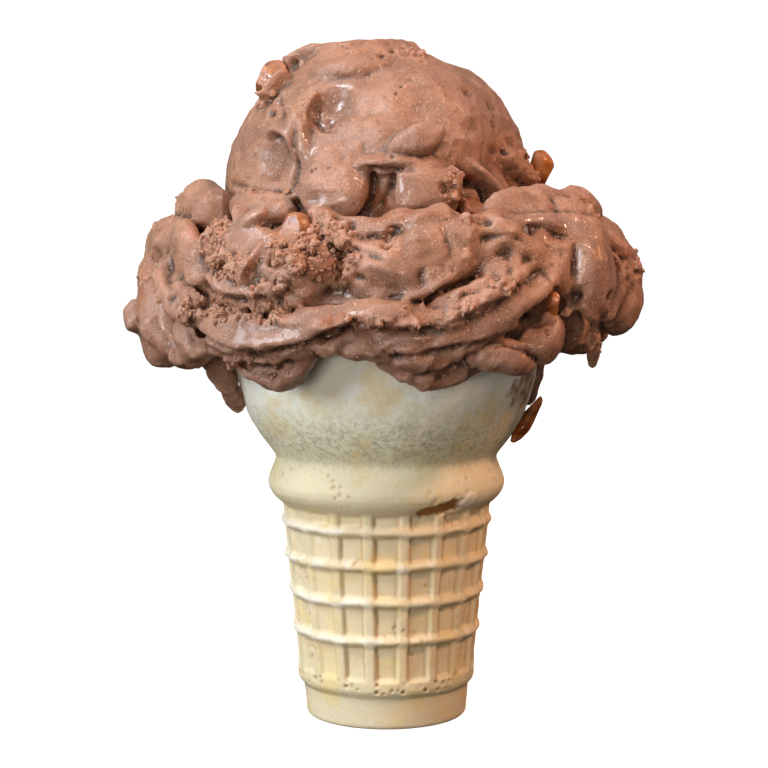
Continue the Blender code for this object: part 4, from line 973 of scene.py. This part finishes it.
# how much deeper than its solid a piece sits, how far to the left, its size, its lean, its smear
TOFFEE_LIES = {"toffee_front": (0.6, 1.2, 1.2, 0, 0.35), "toffee_crevice": (0.9, -0.8, 0.64, 0, 0.1),
               "toffee_crown": (-0.2, 0, 1.25, 0, 0.45), "toffee_right": (0.8, 0, 1.0, 0, 0.1),
               "toffee_drip": (1.6, 0, 1.2, 0.55, 0.0)}
toffee_meshes = {}
for k, name in enumerate(TOFFEES):
    low, high = (np.array(corner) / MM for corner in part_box(name))
    deeper, leftward, size, lean, smeared = TOFFEE_LIES.get(name, (0, 0, 1, 0, 0.4))
    middle, half = (low + high) / 2, (high - low) / 2 * size
    outward = unit(middle * [1, 1, 0])
    skin = broken_lump(middle - deeper * outward - [leftward, 0, 0], half, 40 + k)
    made = to_mesh(name + "_skin", [skin])
    points = points_of(made)
    put_points(made, points + lean * (points[:, 2:] - middle[2]) * outward)
    smear = smeared + 0.5 * noise(points, 2.4, 50 + k)
    keep_state(made, 0.4, 0.3, 0.5, np.clip(smear, 0, 1))
    toffee_meshes[name] = made
print("toffee:", {name: len(mesh.polygons) for name, mesh in toffee_meshes.items()})


def loose_crumbs(mesh, count, seed):
    """Small lumps on the torn places of one skin."""
    state = np.empty(len(mesh.vertices) * 4, np.float32)
    mesh.attributes["state"].data.foreach_get("color", state)
    torn = state.reshape(-1, 4)[:, 0]
    chosen = seats(torn.astype(float) ** 2 + 1e-9, count, seed)
    draws = np.random.default_rng(seed)
    sizes = 0.18 + 0.44 * draws.random(count) ** 2.0
    centres = points_of(mesh)[chosen] + normals_of(mesh)[chosen] * (0.1 * sizes)[:, None]
    return lumps(centres, sizes, seed, rows=4, around=7)


crumb_skins = [loose_crumbs(lower_mesh, 2950, 91), loose_crumbs(upper_mesh, 380, 92)]
crumb_mesh = to_mesh("ice_cream_crumbs", crumb_skins)
crumb_mesh.shade_flat()
keep_state(crumb_mesh, 1.0, 0.1, 0.36, 0.1)          # torn, wet, hollow, syrup
print("loose crumbs:", len(crumb_mesh.polygons), "faces")


# %% [markdown]
# ## Finishes
#
# One function turns an sRGB hex value into the linear numbers that a shader reads, and one adds
# any node with its settings and links. The finish of the ice cream follows the attribute state:
# torn places are matt and a warmer brown, pressed places are slick with melt and painted greyer,
# partly as the melt's own tone and partly as a painted sheen of the cool window; hollows are painted
# deep brown as shade, because little light leaves them, ridges are painted lighter as light falling
# on them, and syrup from the toffee is amber.

# %% Finish helpers
def colour(text):
    """sRGB hex to the linear values that a shader reads."""
    parts = np.array([int(text[k:k + 2], 16) for k in (0, 2, 4)]) / 255
    linear = np.where(parts <= 0.04045, parts / 12.92, ((parts + 0.055) / 1.055) ** 2.4)
    return (*linear.tolist(), 1.0)


def add(tree, kind, inputs=None, **settings):
    """Adds a shader node: settings are its own properties, inputs are values or other sockets."""
    node = tree.nodes.new("ShaderNode" + kind)
    for key, value in settings.items():
        setattr(node, key, value)
    for key, value in (inputs or {}).items():
        if isinstance(value, bpy.types.NodeSocket):
            tree.links.new(value, node.inputs[key])
        else:
            node.inputs[key].default_value = value
    return node


def new_finish(name, **values):
    """An empty finish: its tree, its Principled shader with these socket values, and its places."""
    made = bpy.data.materials.new(name)
    made.use_nodes = True
    tree = made.node_tree
    shader = tree.nodes["Principled BSDF"]
    for key, value in values.items():
        shader.inputs[key.replace("_", " ")].default_value = value
    where = add(tree, "TexCoord").outputs["Object"]
    return made, tree, shader, where


def between(tree, value, low, high, start=0.0, end=1.0):
    """The value from low to high, spread over start to end."""
    return add(tree, "MapRange", {0: value, 1: low, 2: high, 3: start, 4: end}).outputs[0]


def blend(tree, share, first, second):
    """The first colour, or the second where the share is 1."""
    return add(tree, "Mix", {0: share, 6: first, 7: second}, data_type="RGBA").outputs[2]


def times(tree, first, second):
    """The product of two values."""
    return add(tree, "Math", {0: first, 1: second}, operation="MULTIPLY").outputs[0]


def clouds(tree, where, size, detail=2.0, roughness=0.55):
    """Noise with lumps of this size in millimetres."""
    inputs = {"Vector": where, "Scale": 1 / (size * MM), "Detail": detail, "Roughness": roughness}
    return add(tree, "TexNoise", inputs).outputs["Fac"]


def relief(tree, height, strength, depth, under=None):
    """A bump of this depth in millimetres, on top of another one."""
    inputs = {"Height": height, "Strength": strength, "Distance": depth * MM}
    if under:
        inputs["Normal"] = under
    return add(tree, "Bump", inputs).outputs[0]


# %% Chocolate ice cream
def chocolate_ice_cream():
    """Churned and frozen: matt where it is torn, slick where it has been pressed or has melted.

    Tiny frost crystals stand out of it here and there and catch the light. Below a height of
    86 mm the underside is painted darker, as shade under the overhang of the heap.
    """
    made, tree, shader, where = new_finish("chocolate_ice_cream", IOR=1.45, Subsurface_Weight=0.1,
                                           Subsurface_Radius=(1.0, 0.45, 0.3), Subsurface_Scale=0.0012)
    state = add(tree, "Attribute", attribute_name="state")
    torn, wet, hollow = add(tree, "SeparateColor", {"Color": state.outputs["Color"]}).outputs
    grain, sand = clouds(tree, where, 0.75, 3.0, 0.7), clouds(tree, where, 0.3, 2.0, 0.6)
    drift = between(tree, clouds(tree, where, 9, 3.0), 0.38, 0.64)
    cream = blend(tree, drift, colour("A87B60"), colour("8C644C"))
    crumb = blend(tree, torn, cream, colour("AC7D61"))
    # greyer where pressed and wet: the melt's own tone, and partly a painted sheen of the cool window
    slick = blend(tree, between(tree, wet, 0, 1, 0, 0.5), crumb, colour("957A6D"))
    # painted shade under the overhang: darker below 86 mm, most so from 72 mm down
    low = between(tree, add(tree, "SeparateXYZ", {0: where}).outputs["Z"], 0.086, 0.072, 0, 0.45)
    slick = blend(tree, low, slick, colour("624539"))
    amber = blend(tree, between(tree, state.outputs["Alpha"], 0, 1, 0, 0.65), slick, colour("93522A"))
    # painted shade: deep brown in the hollows, where little light reaches
    painted_crease_shade = blend(tree, between(tree, hollow, 0.51, 0.86, 0, 0.92), amber, colour("35231B"))
    # painted light: lighter on ridges, where the skin bulges out
    painted_ridge_light = blend(tree, between(tree, hollow, 0.42, 0.1, 0, 0.4), painted_crease_shade, colour("BB8F7B"))
    dark = blend(tree, between(tree, grain, 0.34, 0.5, 0.4, 0.0), painted_ridge_light, colour("5F3C2C"))
    light = blend(tree, between(tree, sand, 0.54, 0.7, 0.0, 0.35), dark, colour("CFAA96"))
    gloss = between(tree, wet, 0, 0.8, 0.36, 0.12)
    gloss = add(tree, "Math", {0: torn, 1: 0.25, 2: gloss}, operation="MULTIPLY_ADD").outputs[0]
    frost = between(tree, clouds(tree, where, 0.6, 1.0), 0.612, 0.66)
    frosted = blend(tree, between(tree, frost, 0, 1, 0, 0.35), light, colour("DDB9A2"))
    tree.links.new(frosted, shader.inputs["Base Color"])
    gloss = times(tree, gloss, between(tree, frost, 0, 1, 1.0, 0.3))
    tree.links.new(gloss, shader.inputs["Roughness"])
    dry = between(tree, wet, 0, 0.8, 1.0, 0.25)
    soft = relief(tree, times(tree, grain, dry), 0.6, 0.28)
    fine = relief(tree, times(tree, sand, between(tree, wet, 0, 0.8, 1.0, 0.4)), 0.7, 0.10, soft)
    tree.links.new(relief(tree, frost, 0.8, 0.12, fine), shader.inputs["Normal"])
    return made


# %% Wafer
def baked_wafer():
    """Dry, finely porous batter, browned at thin edges and greyer where damp has crept up, with painted
    shade in its pores and beside its ribs.
    """
    made, tree, shader, where = new_finish("baked_wafer", Roughness=0.72, IOR=1.45, Subsurface_Weight=0.1,
                                           Subsurface_Radius=(1.0, 0.7, 0.4), Subsurface_Scale=0.0015)
    state = add(tree, "Attribute", attribute_name="state")
    wear_and_light, stain, toast_and_shade = add(tree, "SeparateColor", {"Color": state.outputs["Color"]}).outputs
    level = add(tree, "SeparateXYZ", {0: where}).outputs["Z"]
    cloudy = {0: clouds(tree, where, 7, 3.0, 0.6), 1: 0.009, 2: level}
    drift = add(tree, "Math", cloudy, operation="MULTIPLY_ADD")
    share = between(tree, drift.outputs[0], 0.0045, 0.0795)
    # the tones pale up the cup to a near-white, greenish bowl: partly the wafer's own tone, partly painted
    # light that offsets the shade the heap casts on the bowl
    tones = add(tree, "ValToRGB", {0: share}).color_ramp
    tones.elements[0].position, tones.elements[0].color = 0.0, colour("DCCFAE")
    tones.elements[1].position, tones.elements[1].color = 1.0, colour("EEF2EA")
    for height, tone in ((9, "D5C9A5"), (14, "DACBA5"), (42, "DACBA7"), (47, "E3D9B7"), (51.5, "E3DBBA"),
                         (54, "DEDABA"), (59, "E6E4C8"), (64, "F0F0DE"), (69, "F0F4EA")):
        mark = tones.elements.new(height / 75)
        mark.color = colour(tone)
    tone = tree.nodes["Color Ramp"].outputs["Color"]
    mottle = between(tree, clouds(tree, where, 1.1, 3.0, 0.7), 0.45, 0.62, 0.0, 0.5)
    damp = times(tree, mottle, between(tree, level, 0.050, 0.056))
    damp = times(tree, damp, between(tree, level, 0.066, 0.058))
    tone = blend(tree, damp, tone, colour("8F8768"))
    yellow = between(tree, clouds(tree, where, 8, 4.0, 0.6), 0.52, 0.66, 0, 0.55)
    tone = blend(tree, yellow, tone, colour("DFC681"))
    grit = between(tree, clouds(tree, where, 0.5, 2.0), 0.3, 0.46, 0.22, 0.0)
    tone = blend(tree, grit, tone, colour("B09566"))
    # browner where the chip is broken; darker in the pores and beside the ribs on the right as painted shade
    tone = blend(tree, toast_and_shade, tone, colour("A06F38"))
    # paler on rubbed rope patches: real wear, stronger on the lit left side as painted light
    tone = blend(tree, between(tree, wear_and_light, 0, 1, 0, 0.7), tone, colour("E9E4D6"))
    tone = blend(tree, between(tree, stain, 0, 1, 0, 0.85), tone, colour("84664B"))
    tree.links.new(tone, shader.inputs["Base Color"])
    coarse = relief(tree, clouds(tree, where, 1.6, 3.0, 0.65), 0.6, 0.22)
    fine = relief(tree, clouds(tree, where, 0.3, 2.0), 0.5, 0.06, coarse)
    tree.links.new(fine, shader.inputs["Normal"])
    return made


# %% Toffee
def broken_toffee():
    """Boiled sugar: amber that lets light in, glossy, with ice cream smeared over part of it."""
    made, tree, shader, where = new_finish("broken_toffee", IOR=1.5, Subsurface_Weight=0.35,
                                           Subsurface_Radius=(1.0, 0.35, 0.08), Subsurface_Scale=0.002)
    state = add(tree, "Attribute", attribute_name="state")
    burnt = between(tree, clouds(tree, where, 2.5, 3.0), 0.35, 0.62)
    amber = blend(tree, burnt, colour("B06A2A"), colour("6E3410"))
    smear = between(tree, state.outputs["Alpha"], 0, 1, 0, 0.85)
    tree.links.new(blend(tree, smear, amber, colour("B08468")), shader.inputs["Base Color"])
    tree.links.new(between(tree, smear, 0, 0.75, 0.16, 0.5), shader.inputs["Roughness"])
    tree.links.new(relief(tree, clouds(tree, where, 0.6, 2.0), 0.5, 0.12), shader.inputs["Normal"])
    return made


# %% Dress the solids
ice, wafer, toffee = chocolate_ice_cream(), baked_wafer(), broken_toffee()
DRESSED = [("ice_cream_lower", lower_mesh, "scoop_lower", ice, "chocolate_ice_cream"),
           ("ice_cream_upper", upper_mesh, "scoop_upper", ice, "chocolate_ice_cream"),
           ("ice_cream_crumbs", crumb_mesh, None, ice, "chocolate_ice_cream"),
           ("baked_wafer_cup", cup_mesh, "wafer_cup", wafer, "wafer")]
DRESSED += [("broken_" + name, mesh, name, toffee, "toffee") for name, mesh in toffee_meshes.items()]
for name, mesh, node, finish, slot in DRESSED:
    mesh.materials.clear()
    mesh.materials.append(finish)
    piece = show(name, mesh)
    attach(piece, "root")
    if node:
        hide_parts(node)


# %% [markdown]
# ## Room, light and camera
#
# A broad cool window on the left and a little warm light from the right, over a round pale floor
# that curves up into a wall all the way round. The room is brown below the horizon, as a table
# would be, so that the undersides stay dark; the wall casts no shadow, so it does not shut the
# light of the room out.

# %% Room, light and camera
def turned_sheet(name, outline, glow):
    """A matt pale sheet: (height, radius) places in millimetres turned about the axis.

    It glows a little, so that it stays pale where the lamps don't reach.
    """
    rings = turned(np.array(outline, float), 96)
    quads = pole_faces(*rings.shape[:2])[0]
    mesh = to_mesh(name, [(rings.reshape(-1, 3), quads, np.empty((0, 3), int))])
    pale = colour("F2F2F0")
    made = new_finish(name, Roughness=0.9, Base_Color=pale, Emission_Color=pale,
                      Emission_Strength=glow)[0]
    mesh.materials.append(made)
    piece = show(name, mesh)
    piece.visible_diffuse = False
    piece.visible_glossy = False
    return piece


FLOOR, BEND, WALL = 2000, 500, 4000          # radius of the flat floor, of the bend, wall height
turned_sheet("pale_floor", [(0, 0.5), (0, 60), (0, 300), (0, FLOOR)], 0.85)
quarter = np.linspace(0, np.pi / 2, 12)
bend = np.stack([BEND * (1 - np.cos(quarter)), FLOOR + BEND * np.sin(quarter)], 1)
wall = turned_sheet("pale_wall", [*bend, (WALL, FLOOR + BEND)], 1.0)
wall.visible_shadow = False


def lamp(name, at, towards, size, watts, tint):
    light = bpy.data.lights.new(name, "AREA")
    light.shape = "DISK"
    light.size = size
    light.energy = watts
    light.color = colour(tint)[:3]
    made = show(name, light)
    made.location = at
    made.rotation_euler = (Vector(towards) - Vector(at)).to_track_quat("-Z", "Y").to_euler()


lamp("window", (-0.72, -0.52, 0.32), (0, 0, 0.08), 0.40, 5.6, "EEF5FF")
lamp("window_pane", (-0.36, -0.25, 0.58), (0, 0, 0.1), 0.19, 2.9, "ECF3FF")
lamp("front", (-0.27, -0.88, 0.04), (0, 0, 0.05), 0.40, 4.0, "FFF0E0")
lamp("ceiling", (-0.10, -0.10, 0.80), (0, 0, 0.09), 0.40, 1.0, "FFF1E2")
lamp("warm_lamp", (0.42, -0.26, 0.52), (0, 0, 0.11), 0.08, 2.6, "FFC29C")
lamp("warm_glint", (0.62, 0.10, 0.30), (0, 0, 0.1), 0.10, 0.4, "FFA56F")
world = bpy.data.worlds.new("room")
bpy.context.scene.world = world
world.use_nodes = True
sky = world.node_tree
up = add(sky, "SeparateXYZ", {0: add(sky, "TexCoord").outputs["Generated"]}).outputs["Z"]
tone = blend(sky, between(sky, up, -0.35, 0.5), colour("6A5648"), colour("FFFFFF"))
sky.links.new(tone, sky.nodes["Background"].inputs["Color"])
sky.nodes["Background"].inputs["Strength"].default_value = 0.29

camera = bpy.data.cameras.new("view")
camera.lens = 89.06
camera.sensor_width = 36
eye = show("view", camera)
eye.location = (-0.00046, -0.380, 0.09984)
eye.rotation_euler = (np.radians(85), 0, 0)
bpy.context.scene.camera = eye
bpy.context.scene.view_settings.view_transform = "Standard"
